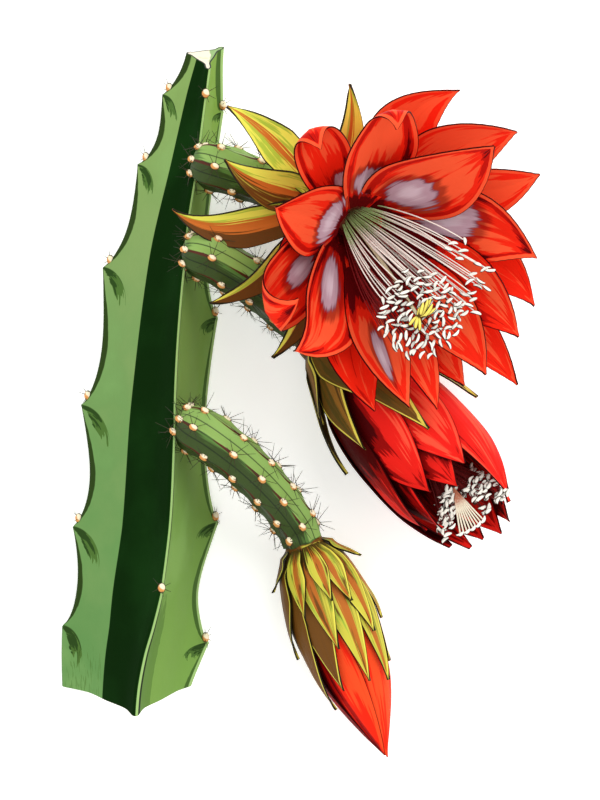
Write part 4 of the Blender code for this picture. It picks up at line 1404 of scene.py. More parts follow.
@dataclass(frozen=True)
class Brush:
    """How one blade is painted: its throat in painted shade, its flush or its bands."""

    throat: float = 0.12
    flush: tuple[float, float, float, float] | None = None
    bands: tuple[float, float, float] = (-0.15, 0.15, 0.5)
    brown: float = 0.0
    # rim sets the painted rim highlight and the painted shadow line inside it; glow lifts or
    # lowers the painted tone.
    rim: float = 0.3
    glow: float = 0.0

    def petal(self, u: Array, v: Array, half: Array) -> dict[str, Array | float]:
        """Return the numbers that a petal's finish reads.

        Args:
            u: Share of the length.
            v: Place across, -1 to 1.
            half: Half width in millimetres.

        Returns:
            Distance from the margin, painted light and shade, and distance from the middle of the
            flush.
        """
        # Painted light and shade: a highlight past the middle, shade along the middle groove and
        # in the throat.
        painted_highlight = np.exp(-((u - 0.62) / 0.24) ** 2) * (1.0 - 0.8 * v**2)
        vein = np.exp(-(v / 0.06) ** 2) * (1.0 - eased(u, 0.6, 0.9))
        tone = 0.50 + self.glow + 0.20 * painted_highlight - 0.14 * vein
        tone = tone - 0.85 * (1.0 - eased(u, self.throat * 0.5, self.throat * 1.2 + 0.04))
        spot = np.full(len(u), FAR_OFF)
        if self.flush:
            at, side, long, wide = self.flush
            spot = np.sqrt(((u - at) / long) ** 2 + ((v - side) / wide) ** 2)
        return {"edge": half * (1.0 - np.abs(v)), "tone": tone, "spot": np.minimum(spot, FAR_OFF),
                "rim": self.rim}

    def bract(self, v: Array, half: Array) -> dict[str, Array | float]:
        """Return the numbers that a bract's finish reads."""
        low, high, gloom = self.bands
        return {"edge": half * (1.0 - np.abs(v)), "band_low": low, "band_high": high,
                "gloom": gloom, "brown": self.brown}


@dataclass(frozen=True)
class OpenBlade:
    """A blade that leans out from the axis, bowed, cupped across and hooked at its tip.

    Angles are in degrees and sizes in millimetres; bow is how far it swings aside at two thirds.
    """

    turn: float
    lean: float
    curl: float
    length: float
    width: float
    cup: float
    hook: float
    root_s: float
    root_r: float
    bow: float
    onset: float
    peak: float
    outline: Outline = Outline.PETAL
    ruffle: float = 0.5
    steps: int = 200

    def build(self, name: str, axis: FlowerAxis, grid: tuple[int, int], wall: float,
              brush: Brush, rng: random.Random) -> Piece:
        """Make the blade.

        Args:
            name: Object name.
            axis: The flower's frame.
            grid: Squares along and across the blade.
            wall: Thickness in millimetres.
            brush: How it is painted.
            rng: Source of its small irregularities.

        Returns:
            The blade with its finish's numbers stored on it.
        """
        out = axis.out(self.turn)[0]
        side = np.cross(axis.along, out)
        fine = np.linspace(0.0, 1.0, self.steps + 1)
        late = np.maximum((fine - self.onset) / (1.0 - self.onset), 0.0)
        bend = np.radians(self.lean + self.curl * fine**1.5 + self.hook * late**1.5)[:, None]
        forward = axis.along * np.cos(bend) + out * np.sin(bend)
        inward = axis.along * np.sin(bend) - out * np.cos(bend)
        middle = np.concatenate([np.zeros((1, 3)), np.cumsum(
            (forward[1:] + forward[:-1]) / 2.0, axis=0)]) * (self.length / self.steps)
        middle += axis.start + axis.along * self.root_s + out * self.root_r
        bow = fine**2 * (1.0 - fine) * 27.0 / 4.0
        middle += np.outer(self.bow * bow, side)
        phase = rng.uniform(0.0, 6.28)
        lobes = rng.uniform(7.0, 10.0)

        def half(u: Array) -> Array:
            return np.maximum(self.width / 2.0 * self.outline.half(u, self.peak), THINNEST)

        def shape(u: Array, v: Array) -> Array:
            i = np.rint(u * self.steps).astype(int)
            wide = half(u)
            wave = self.ruffle * np.sin(lobes * u + phase + 1.5 * np.sign(v)) * v**2 * eased(
                u, 0.15, 0.6)
            groove = -0.30 * np.exp(-(v / 0.10) ** 2) * (1.0 - eased(u, 0.75, 1.0))
            rise = self.cup * wide * v**2 * (1.0 - 0.25 * np.abs(v)) + wave + groove
            return middle[i] + side * (wide * v)[:, None] + inward[i] * rise[:, None]

        def marks(u: Array, v: Array) -> dict[str, Array | float]:
            if self.outline is Outline.PETAL:
                return brush.petal(u, v, half(u))
            return brush.bract(v, half(u))

        blade = sheet(name, *grid, shape, marks)
        thicken(blade, wall)
        paint(blade, seed=rng.random())
        return blade


@dataclass
class ClosedBody:
    """The turned profile of a closed flower, how its blades lie on it and how they are painted in
    shade.
    """

    axis: FlowerAxis
    profile: Sequence[Sequence[float]]
    start: float
    root: float
    skew: float = 0.95
    wall: float = PETAL_WALL
    grid: tuple[int, int] = PETAL_GRID
    peak: float = 0.50
    # Painted shade away from the light, its span and its clearing towards the tip; glow shifts the
    # painted tone.
    gloom: float = 0.0
    gloom_at: tuple[float, float] = (0.1, 0.85)
    clear: float = 0.0
    glow: float = 0.06
    light: tuple = (0.55, 0.75, 0.45)


@dataclass(frozen=True)
class ClosedBlade:
    """A blade that follows a turned profile, one edge raised over its neighbour's."""

    turn: float
    end: float
    width: float
    lift: float
    tip_lift: float
    outline: Outline = Outline.PETAL

    def build(self, name: str, body: ClosedBody, brush: Brush,
              rng: random.Random) -> Piece:
        """Make the blade.

        Args:
            name: Object name.
            body: The turned profile and how blades lie on it.
            brush: How it is painted.
            rng: Source of its small irregularities.

        Returns:
            The blade with its finish's numbers stored on it.
        """
        first = body.profile[0][0]
        phase = rng.uniform(0.0, 6.28)

        def half(u: Array) -> Array:
            return np.maximum(self.width / 2.0 * self.outline.half(u, body.peak), THINNEST)

        def shape(u: Array, v: Array) -> Array:
            s = body.start + (self.end - body.start) * u
            radius = keyed(body.profile, np.maximum(s, first))[:, 0]
            radius = radius - np.maximum(first - s, 0.0) * 0.5
            risen = np.minimum(u / 0.2, 1.0)
            radius = radius + body.root + (self.lift - body.root) * risen
            radius = radius + (self.tip_lift - self.lift) * u**3
            radius = radius + body.skew * v * risen * np.minimum(radius / 12.0, 1.0)
            radius = radius + 0.25 * np.sin(9.0 * u + phase) * v**2 * risen
            radius = radius - 0.25 * np.exp(-(v / 0.10) ** 2) * risen
            radius = np.maximum(radius, 0.7)
            spread = np.degrees(np.minimum(half(u) / radius, 1.35))
            return body.axis.at(s, radius, self.turn - spread * v)

        def marks(u: Array, v: Array) -> dict[str, Array | float]:
            if self.outline is Outline.BRACT:
                return brush.bract(v, half(u))
            found = brush.petal(u, v, half(u))
            # Painted shade on the side away from the light, clearing towards the tip.
            points = shape(u, v) - body.axis.start
            away = unit(points - np.outer(points @ body.axis.along, body.axis.along))
            light = unit(np.array(body.light))
            gloom = eased(0.5 - 0.9 * away @ light, *body.gloom_at)
            gloom = gloom * (1.0 - body.clear * eased(u, 0.45, 0.85))
            found["tone"] = found["tone"] + body.glow - body.gloom * gloom
            return found

        blade = sheet(name, *body.grid, shape, marks)
        thicken(blade, body.wall)
        paint(blade, seed=rng.random())
        return blade


def turned(name: str, axis: FlowerAxis, profile: Sequence[Sequence[float]],
           sides: int = 40) -> Piece:
    """Make a body turned about a flower's axis.

    Args:
        name: Object name.
        axis: The flower's frame.
        profile: Distance along the axis and radius, from one pole to the other.
        sides: Squares around.

    Returns:
        The closed body, its finish's numbers stored as for a hidden part in painted shade.
    """
    rows = np.array(profile, float)

    def shape(u: Array, v: Array) -> Array:
        at = u * (len(rows) - 1)
        s = np.interp(at, np.arange(len(rows)), rows[:, 0])
        r = np.interp(at, np.arange(len(rows)), rows[:, 1])
        return axis.at(s, r, (v + 1.0) * 180.0)

    body = sheet(name, (len(rows) - 1) * 4, sides, shape)
    close_seam(body)
    # Numbers that paint it as a hidden part in shade.
    paint(body, seed=0.5, back=0.0, edge=FAR_OFF, tone=0.2, spot=FAR_OFF, deep=0.3, rim=0.0)
    paint(body, gloom=0.5, brown=0.6, band_low=-0.1, band_high=0.1, tip=0.3, shade=0.0)
    return body


def dress_whorl(name: str, blades: list[Piece], core: Piece,
                reach: float, material: bpy.types.Material, node: str) -> None:
    """Shade a round of blades by each other and dress it as one piece.

    Args:
        name: Name of the piece.
        blades: Its petals or bracts.
        core: The part that they grow from, hidden between them.
        reach: How far off a blade still shades another, in millimetres.
        material: Its material.
        node: CAD node that it replaces.
    """
    shade_by_neighbours(blades, reach)
    dress(join(name, [*blades, core]), material, node)


def bend_line(start: Array, lift: Array, end: Array, steps: int) -> Array:
    """Return points on a curve that leaves start towards lift and ends at end."""
    t = np.linspace(0.0, 1.0, steps + 1)[:, None]
    return start * (1 - t) ** 2 + lift * (2 * t * (1 - t)) + end * t**2


class StamenKit:
    """The anther's template and the ways to make filaments and anthers."""

    dusk: Array = unit(np.array([-0.55, -0.75, -0.35]))

    def __init__(self) -> None:
        """Model one anther: a bent, grooved grain a millimetre long each way."""
        deselect()
        bpy.ops.mesh.primitive_uv_sphere_add(segments=8, ring_count=7, radius=MM)
        self.grain = bpy.context.active_object
        points = read_points(self.grain) / MM
        groove = 1.0 - 0.30 * np.exp(-((np.arctan2(points[:, 1], points[:, 0])) / 0.5) ** 2)
        points[:, 0] *= groove
        points[:, 0] += 0.75 * points[:, 2] ** 2
        self.grain.data.vertices.foreach_set("co", (points * MM).astype(np.float32).ravel())
        self.strands: list[Piece] = []
        self.anthers: list[Piece] = []

    def strand(self, line: Array, thick: float, dark: float) -> None:
        """Add a filament along a line, dark where it lies in the shadow of others."""
        steps = len(line)
        strand = thread(f"strand_{len(self.strands)}", line,
                        np.linspace(thick, thick * 0.8, steps), 6)
        near = np.linalg.norm(read_design(strand)[:, None] - line[None], axis=2).argmin(1)
        shade = np.maximum(0.55 * self.shadow(strand), dark)
        paint(strand, tip=near / (steps - 1.0), shade=shade)
        self.strands.append(strand)

    def anther(self, spot: Array, way: Array, size: tuple[float, float], roll: float) -> None:
        """Add an anther across a filament's end, its lower left side in shade."""
        grain = stamp(self.grain, aim(spot, way, (size[0], size[0], size[1]), roll))
        paint(grain, tip=1.0, shade=self.shadow(grain))
        self.anthers.append(grain)

    @staticmethod
    def shadow(piece: Piece) -> Array:
        """Return how far each vertex is turned away from the light or down to the floor."""
        normals = read_vectors(piece, "normal")
        away = eased(normals @ StamenKit.dusk, 0.0, 0.6)
        return np.maximum(away, 1.0 - eased(normals[:, 2], 0.15, 0.62))

    def finish(self, name: str, node: str, slot: str, finish: PlainFinish) -> None:
        """Join and dress the filaments and the anthers."""
        bpy.data.objects.remove(self.grain)
        dress(join(name + "_filaments", self.strands), finish.build(), node)
        dress(join(name + "_anthers", self.anthers), PlainFinish(
            name + "_anther_cream", (255, 250, 236), (255, 252, 240), (232, 220, 190),
            (56, 30, 20), dusk=(0.26, 0.46), grain=2200.0, amount=0.3, rough=0.7,
            depth=0.2).build(), node)


# Petals and bracts of the open bloom: OpenBlade's fields from turn to peak
OPEN_PETALS = (
    (152, 72, 0, 38, 32, 0.25, 0, 27, 8.2, 0, 0.72, 0.34),
    (115, 80, 15, 56, 23, 0.45, -190, 21, 9.6, -1, 0.60, 0.50),
    (86, 60, 15, 71, 29, 0.30, -170, 25, 9.0, -1, 0.74, 0.50),
    (49.7, 44, 12, 71.9, 40, 0.22, 0, 23, 9.6, 0, 0.72, 0.45),
    (-6, 47, 8, 68.9, 34, 0.22, 0, 19, 9.6, 8, 0.72, 0.50),
    (-34.5, 44, 5, 73.9, 29, 0.25, 0, 20, 9.6, 5, 0.72, 0.50),
    (-52.7, 39, 5, 75.5, 27, 0.25, 0, 20, 9.6, 4, 0.72, 0.50),
    (-74.4, 44, 5, 75.2, 19, 0.20, 0, 20, 9.6, 2, 0.72, 0.50),
    (-86.6, 37, 5, 73.3, 24, 0.30, 0, 21, 9.6, -3, 0.72, 0.50),
    (-140, 39, 0, 60, 31, 0.30, 100, 22, 9.6, 4, 0.76, 0.60),
    (-160, 64, 0, 67, 33, 0.35, -190, 20, 9.6, 4, 0.50, 0.40),
    (52.7, 78, 0, 60.3, 29, 0.25, 0, 17, 10.2, 10, 0.72, 0.50),
    (34.1, 64, 5, 68.6, 32, 0.25, 0, 17, 10.2, 6, 0.72, 0.55),
    (17.7, 62, 5, 69.4, 26, 0.25, 0, 17, 10.2, -2, 0.72, 0.55),
    (-26.2, 58, 4, 72.2, 26, 0.25, 0, 17, 10.2, 9, 0.72, 0.55),
    (-48.4, 56, 3, 85.0, 22, 0.25, 0, 17, 10.2, 3, 0.72, 0.50),
    (-60.8, 50, 5, 71.9, 24, 0.25, 0, 17, 10.2, 0, 0.72, 0.50),
    (-95.6, 46, 5, 70.3, 27, 0.25, 0, 17, 10.2, -6, 0.72, 0.50),
    (-162, 80, 0, 24, 24, 0.35, 0, 16, 10.2, 0, 0.72, 0.50))
# The long throats of petals 5 to 8 and 14 to 17 are painted shadow under the stamens.
OPEN_BRUSHES = {
    0: Brush(0.04, (0.16, 0.0, 0.13, 0.90), rim=0.8, glow=0.04),
    1: Brush(0.10, (0.20, -0.40, 0.09, 0.40), rim=1.0),
    2: Brush(0.10, (0.24, 0.0, 0.13, 0.60), rim=1.0, glow=0.12),
    3: Brush(0.10, (0.31, -0.10, 0.18, 0.58), rim=1.0, glow=0.02),
    4: Brush(0.22, (0.45, 0.15, 0.20, 0.60), rim=1.0, glow=-0.08),
    5: Brush(0.42), 6: Brush(0.42), 7: Brush(0.40),
    8: Brush(0.40, (0.68, -0.12, 0.17, 0.26), rim=0.5),
    9: Brush(0.06, (0.34, 0.0, 0.24, 0.45), rim=1.0, glow=-0.08),
    10: Brush(0.10, (0.30, 0.10, 0.14, 0.32), rim=1.0, glow=-0.03),
    11: Brush(glow=0.12), 12: Brush(glow=0.10), 13: Brush(glow=0.08),
    14: Brush(0.40), 15: Brush(0.40), 16: Brush(0.42), 17: Brush(0.40, glow=-0.06)}
# Lobes of the stigma: where each bends and where it ends beside the stigma, and its height
STIGMA_LOBES = (
    (0.4, 0.8, 1.6, 6.2, 3.0), (1.6, 0.4, 3.4, 7.4, 2.2), (2.6, -0.4, 5.2, 5.6, 3.2),
    (3.0, 0.6, 6.4, 4.0, 2.0), (2.2, 2.0, 4.6, 7.6, 0.8), (-0.6, 0.6, 0.2, 4.4, 0.6),
    (-0.8, -0.2, -1.8, -4.4, 2.0), (-2.0, 0.2, -4.2, -3.0, 1.4), (0.6, -0.8, 0.0, -5.2, 1.6))
OPEN_BRACTS = (
    (133, 102, 8, 58, 16, 0.35, 0, 9, 7.4, -2.5, 0.72, 0.55),
    (149, 89, 6, 49, 18, 0.35, 0, 7, 7.4, 3, 0.72, 0.45),
    (174, 95, 8, 62, 18, 0.40, 0, 8, 7.4, 7, 0.72, 0.50),
    (-158, 76, 6, 60, 15, 0.40, -30, 7, 7.4, 6, 0.72, 0.42),
    (-124, 70, 6, 58, 17, 0.35, 0, 6, 7.4, 5, 0.72, 0.45),
    (90, 78, 4, 52, 12, 0.35, 0, 7, 7.4, -2, 0.72, 0.50),
    (44, 82, 6, 44, 15, 0.35, 0, 6, 7.4, 0, 0.72, 0.42),
    (-4, 62, 8, 44, 15, 0.35, 0, 6, 7.4, 0, 0.72, 0.42),
    (-50, 54, 8, 38, 15, 0.35, 0, 6, 7.4, 0, 0.72, 0.42))
# Bands of the first bracts: where the stripe starts and ends, and how brown the far side is
OPEN_BANDS = ((-0.16, 0.26, 0.2), (-0.16, 0.22, 0.6), (-0.30, 0.30, 1.0), (-0.25, -0.15, 1.0),
              (-0.25, -0.15, 1.0), (-0.15, 0.15, 0.0))


@dataclass
class OpenBloom:
    """The wide open bloom: bracts, petals, stamens and pistil."""

    origin: tuple = OPEN_END
    axis: tuple = OPEN_WAY
    cup: tuple = ((12.3, 0.0), (12.3, 9.6), (18.0, 11.0), (23.0, 11.6), (23.4, 10.6), (21.0, 9.4),
                  (15.0, 7.6), (14.6, 0.0))
    seat: tuple = ((0.3, 0.0), (0.3, 7.6), (6.0, 8.6), (11.6, 9.4), (11.9, 0.0))
    bract_wall: float = 0.7
    root: tuple = (23.7, 68.3)
    seeds: tuple = (21, 8)
    groups: tuple = (
        ((46.8, 33.6, 86.0), (16.5, 17.0), 118), ((61.6, 59.5, 82.0), (4.0, 4.5), 5),
        ((69.6, 47.5, 84.0), (5.0, 7.0), 9), ((65.0, 36.5, 84.0), (6.0, 5.0), 8))
    stigma: tuple = (46.4, 32.0, 87.5)
    white_above: float = 38.0
    upright_below: float = 27.0
    anther_turns: tuple = (34.0, 82.0, -14.0)
    anther: tuple = (0.78, 1.7, 2.4)
    thick: tuple = (0.26, 0.31)
    fan_turn: float = 42.0
    fan_wide: float = 5.4
    free_of_pistil: float = 0.9

    def build(self) -> None:
        """Make every piece of the bloom."""
        axis = FlowerAxis(self.origin, self.axis)
        rng = random.Random(self.seeds[0])
        petals = [OpenBlade(*row).build(
            f"petal_{i}", axis, PETAL_GRID, PETAL_WALL, OPEN_BRUSHES.get(i, Brush()), rng)
            for i, row in enumerate(OPEN_PETALS)]
        dress_whorl("open_petals", petals, turned("cup", axis, self.cup), 20.0,
                    PetalFinish("petal_scarlet").build(), "open_bloom_petals")
        brushes = [Brush(bands=bands) for bands in OPEN_BANDS]
        brushes += [Brush()] * (len(OPEN_BRACTS) - len(brushes))
        bracts = [OpenBlade(*row, outline=Outline.BRACT, ruffle=0.7).build(
            f"bract_{i}", axis, BRACT_GRID, self.bract_wall, brushes[i], rng)
            for i, row in enumerate(OPEN_BRACTS)]
        dress_whorl("open_bracts", bracts, turned("seat", axis, self.seat), 9.0,
                    BractFinish("bract_open").build(), "open_bloom_bracts")
        self.build_stamens(axis, self.build_pistil(axis))

    def build_pistil(self, axis: FlowerAxis) -> Array:
        """Make the style and its lobed stigma, and return the points to keep clear of."""
        stigma = np.array(self.stigma)
        style = bend_line(axis.at(15.0)[0], axis.at(51.0)[0], stigma, 16)
        way = unit(style[-1] - style[-2])
        pistil = [thread("style", style, np.linspace(1.1, 0.9, 17), 10)]
        guard = [style[4:]]
        for near_x, near_y, far_x, far_y, high in STIGMA_LOBES:
            line = bend_line(stigma - way, stigma + np.array([near_x, near_y, high + 1.0]),
                             stigma + np.array([far_x, far_y, high]), 8)
            radii = np.array([0.4, 0.5, 0.6, 0.7, 0.75, 0.75, 0.75, 0.65, 0.35])
            pistil.append(thread(f"lobe_{len(pistil)}", line, radii, 8))
            guard.append(line)
        for piece in pistil:
            paint(piece, tip=0.0 if piece is pistil[0] else 1.0, shade=StamenKit.shadow(piece))
        dress(join("pistil", pistil), PlainFinish(
            "stigma_yellow", (226, 214, 176), (250, 232, 104), (222, 196, 70),
            (88, 56, 16), dusk=(0.20, 0.50)).build(), "open_bloom_pistil")
        return np.concatenate(guard)

    def ends(self) -> list[Array]:
        """Return where the filaments end, spread evenly over each group."""
        found = []
        for centre, spread, count in self.groups:
            for k in range(count):
                far = math.sqrt((k + 0.5) / count)
                turn = GOLDEN_TURN * k
                found.append(np.array(centre) + np.array((
                    spread[0] * far * math.cos(turn), spread[1] * far * math.sin(turn), 0.0)))
        return found

    def build_stamens(self, axis: FlowerAxis, keep_off: Array) -> None:
        """Make the filaments, parted like a fan so that they don't cross, and the anthers.

        Args:
            axis: The flower's frame.
            keep_off: Points of the pistil, in millimetres.
        """
        rng = random.Random(self.seeds[1])
        kit = StamenKit()
        core = FlowerAxis(axis.start + np.array([1.6, 1.2, 0.0]), self.axis)
        seat = turned("filament_seat", core, (
            (14.9, 2.0), (15.4, 6.0), (17.4, 7.2), (19.2, 5.0), (16.0, 2.0), (14.9, 2.0)), 30)
        # The filaments' seat, partly in painted shade.
        paint(seat, tip=0.0, shade=0.6)
        kit.strands.append(seat)
        across = unit(core.out(self.fan_turn)[0])
        for number, end in enumerate(self.ends()):
            run = end[:2] - np.array(self.root)
            part = (math.degrees(math.atan2(run[1], run[0])) + 40.0) / 32.0
            part = min(max(part + rng.uniform(-0.12, 0.12), -1.15), 1.15)
            end = end + np.array([rng.uniform(-1, 1), rng.uniform(-1, 1), rng.uniform(-2, 2.5)])
            apart = number >= self.groups[0][2]
            # Filaments in front are lit; those behind are painted in shadow.
            lit = apart or (end[1] > self.white_above and number % 3)
            foot = core.at(16.0)[0] + across * self.fan_wide * part
            foot = foot + core.out(self.fan_turn + 90.0)[0] * (
                1.8 if lit else rng.uniform(-4.0, 0.0))
            lift = (foot + end) / 2.0 + across * 4.5 * part + np.array(
                [0.0, 0.0, 9.0 if lit else 4.0])
            line = bend_line(foot, lift, end, 10)
            gap = np.linalg.norm(line[1:, None, :] - keep_off[None, :, :], axis=2).min()
            if gap < self.free_of_pistil:
                continue
            kit.strand(line, self.thick[bool(lit)], 0.0 if lit else 1.0)
            group = 2 if apart else int(end[1] < self.upright_below)
            turn = math.radians(rng.gauss(self.anther_turns[group], 30.0))
            way = np.array((math.cos(turn), math.sin(turn), rng.uniform(-0.2, 0.3)))
            wide, *long = self.anther
            kit.anther(end, way, (wide, rng.uniform(*long)), rng.uniform(0, 6.28))
        kit.finish("open", "open_bloom_stamens", "stamen_white", PlainFinish(
            "filament_white", (170, 198, 122), (255, 250, 238), (244, 222, 204), (122, 14, 16),
            change=(0.14, 0.38)))


# A profile: distance along the axis and radius; a closed blade: fields from turn to tip_lift
SECOND_PROFILE = (
    (10.0, 8.6), (20.0, 14.0), (35.0, 21.4), (50.0, 25.0), (66.0, 26.2), (80.0, 25.8),
    (92.0, 23.2), (103.0, 19.6), (116.0, 15.5))
SECOND_PETALS = (
    (270, 111, 30, -4.6, -3.0), (330, 105, 30, -4.6, -9.0), (36, 93, 30, -4.6, -6.0),
    (90, 92, 30, -4.6, -3.4), (150, 98, 30, -4.6, -3.0), (210, 108, 30, -4.6, -3.0),
    (247, 107, 29, -1.8, -0.6), (292, 110, 29, -1.8, -2.4), (337, 106, 30, -1.8, -7.0),
    (26, 104, 32, -1.8, -4.6), (70, 88, 28, -1.8, 0.4), (112, 87, 28, -1.8, 0.6),
    (157, 94, 28, -1.8, 0.4), (202, 102, 29, -1.8, 0.0))
SECOND_BRACTS = (
    (180, 53, 15, 2.8, 3.0), (126, 56, 17, 1.2, 2.4), (75, 69, 17, 1.3, 2.6),
    (8, 68, 16, 1.2, 4.6), (222, 44, 15, 1.2, 1.8), (325, 50, 15, 1.3, 2.4),
    (40, 44, 16, 1.4, 2.0), (98, 38, 15, 2.7, 3.2), (153, 34, 14, 2.6, 3.4))


@dataclass
class SecondBloom:
    """The half open bloom: bracts, overlapping petals and the anthers in its mouth."""

    origin: tuple = SECOND_END
    axis: tuple = SECOND_WAY
    core: tuple = ((10.0, 0.0), (10.0, 7.6), (20.0, 12.0), (28.0, 15.8), (30.0, 14.0), (30.0, 0.0))
    seat: tuple = ((0.3, 0.0), (0.3, 7.6), (5.0, 8.6), (9.7, 8.8), (9.7, 0.0))
    column: tuple = ((30.3, 0.0), (30.3, 6.0), (60.0, 4.0), (72.0, 3.0), (72.0, 0.0))
    left: int = 60
    right: int = 54
    hidden: int = 40
    hidden_wide: float = 12.5
    fan: int = 9
    feet: tuple = (64.0, 88.0)
    thick: tuple = (0.24, 0.42)
    anther: tuple = (0.86, 1.5, 2.0)
    fan_anther: tuple = (0.8, 1.9)
    seeds: tuple = (31, 9)

    def build(self) -> None:
        """Make every piece of the bloom."""
        axis = FlowerAxis(self.origin, self.axis, (0.71, 0.70, 0.0))
        rng = random.Random(self.seeds[0])
        body = ClosedBody(axis, SECOND_PROFILE, 16.0, -3.0, gloom=0.72, gloom_at=(0.02, 0.58),
                          clear=0.80, glow=-0.08)
        petals = [ClosedBlade(*row).build(f"petal_{i}", body, Brush(0.25), rng)
                  for i, row in enumerate(SECOND_PETALS)]
        finish = PetalFinish("petal_crimson", bright=(252, 82, 58), base=(236, 34, 26),
                             dark=(150, 10, 8), fold=(74, 2, 4))
        dress_whorl("second_petals", petals, turned("core", axis, self.core), 12.0,
                    finish.build(), "second_bloom_petals")
        leaf = ClosedBody(axis, SECOND_PROFILE, 5.0, 0.0, 0.5, 0.7, BRACT_GRID, 0.45)
        bracts = [ClosedBlade(*row, outline=Outline.BRACT).build(
            f"bract_{i}", leaf, Brush(bands=(0.25, 0.62, 1.0)), rng)
            for i, row in enumerate(SECOND_BRACTS)]
        leather = BractFinish(
            "bract_olive", yellow=(110, 76, 24), green=(88, 70, 22), orange=(150, 100, 36),
            brown=(92, 62, 20), root=(56, 46, 16), rim=(238, 218, 88), rim_wide=1.5)
        dress_whorl("second_bracts", bracts, turned("seat", axis, self.seat), 7.0,
                    leather.build(), "second_bloom_bracts")
        self.build_stamens(axis)

    def build_stamens(self, axis: FlowerAxis) -> None:
        """Make the two bunches of anthers in the mouth and the fan between them."""
        rng = random.Random(self.seeds[1])
        kit = StamenKit()
        kit.strands.append(turned("column", axis, self.column, 24))
        spots = []
        for k in range(self.left):
            f = (k + rng.random()) / self.left
            spots.append(axis.inside(88.5 + 9.5 * f + rng.uniform(-3.2, 2.6),
                                     -2.5 - 13.5 * f + rng.uniform(-2.5, 2.0),
                                     rng.uniform(2.0, 5.5)))
        for k in range(self.right):
            spots.append(axis.inside(rng.uniform(90.0, 105.0), rng.uniform(0.5, 13.5),
                                     rng.uniform(2.0, 6.5)))
        for k in range(self.hidden):
            turn = GOLDEN_TURN * k
            far = self.hidden_wide * math.sqrt((k + 0.5) / self.hidden)
            spots.append(axis.inside(rng.uniform(84.0, 92.0), far * math.cos(turn),
                                     -7.0 + far * math.sin(turn) * 0.6))
        for spot in spots:
            foot = axis.inside(self.feet[0], rng.uniform(-2.0, 2.0), rng.uniform(-2.0, 2.0))
            lift = (foot + spot) / 2.0 + axis.along * 6.0
            # These filaments lie in the mouth, painted in shadow.
            kit.strand(bend_line(foot, lift, spot, 8), self.thick[0], 1.0)
            way = axis.first * rng.uniform(0.5, 1.0) + axis.second * rng.uniform(-0.2, 0.2)
            way = way + axis.along * rng.uniform(-0.6, 0.4)
            wide, *long = self.anther
            kit.anther(spot, way, (wide, rng.uniform(*long)), rng.uniform(0, 6.28))
        for k in range(self.fan):
            f = k / (self.fan - 1.0)
            foot = axis.inside(self.feet[1], -1.6, 3.0)
            end = axis.inside(104.6 + 2.4 * f - 3.0 * (f - 0.5) ** 2, -12.4 + 10.6 * f, 5.0)
            lift = (foot + end) / 2.0 + axis.second * 1.5
            kit.strand(bend_line(foot, lift, end, 8), self.thick[1], 0.0)
            if k % 2 == 0:
                kit.anther(end, axis.first + axis.along * (0.3 - 0.6 * f), self.fan_anther, 0.0)
        kit.finish("second", "second_bloom_stamens", "anther_cream", PlainFinish(
            "filament_cream", (196, 120, 90), (250, 240, 214), (232, 190, 160), (110, 14, 14),
            change=(0.2, 0.5)))


BUD_PROFILE = (
    (5.0, 9.0), (10.0, 11.8), (18.0, 14.2), (30.0, 16.4), (38.0, 16.8), (51.0, 16.0),
    (60.0, 14.4), (70.0, 11.4), (81.0, 7.0), (89.0, 3.2), (93.0, 1.2))
BUD_PETALS = ((60, 93, 27, -1.9, -1.0), (132, 92, 27, -1.9, -1.0), (204, 92, 27, -1.9, -1.0),
              (276, 91, 27, -1.9, -1.0), (348, 92, 27, -1.9, -1.0))
BUD_BRACTS = (
    (152, 67, 16, 1.0, 1.3), (115, 60, 15, 1.3, 1.2), (73, 60, 13, 1.2, 1.3),
    (39, 63, 13, 1.3, 1.5), (340, 58, 13, 1.2, 1.2), (215, 60, 13, 1.3, 1.1),
    (168, 43, 16, 2.4, 2.8), (97, 43, 12, 2.6, 2.8), (47, 42, 12, 2.7, 3.0),
    (0, 40, 12, 1.9, 1.6), (300, 46, 12, 1.3, 1.1), (255, 46, 12, 1.2, 1.2),
    (121, 27, 9, 3.9, 4.2), (62, 27, 9, 3.8, 4.3), (8, 13, 7, 3.0, 7.0),
    (165, 14, 9, 3.1, 6.0), (84, 24, 8, 4.2, 4.6))


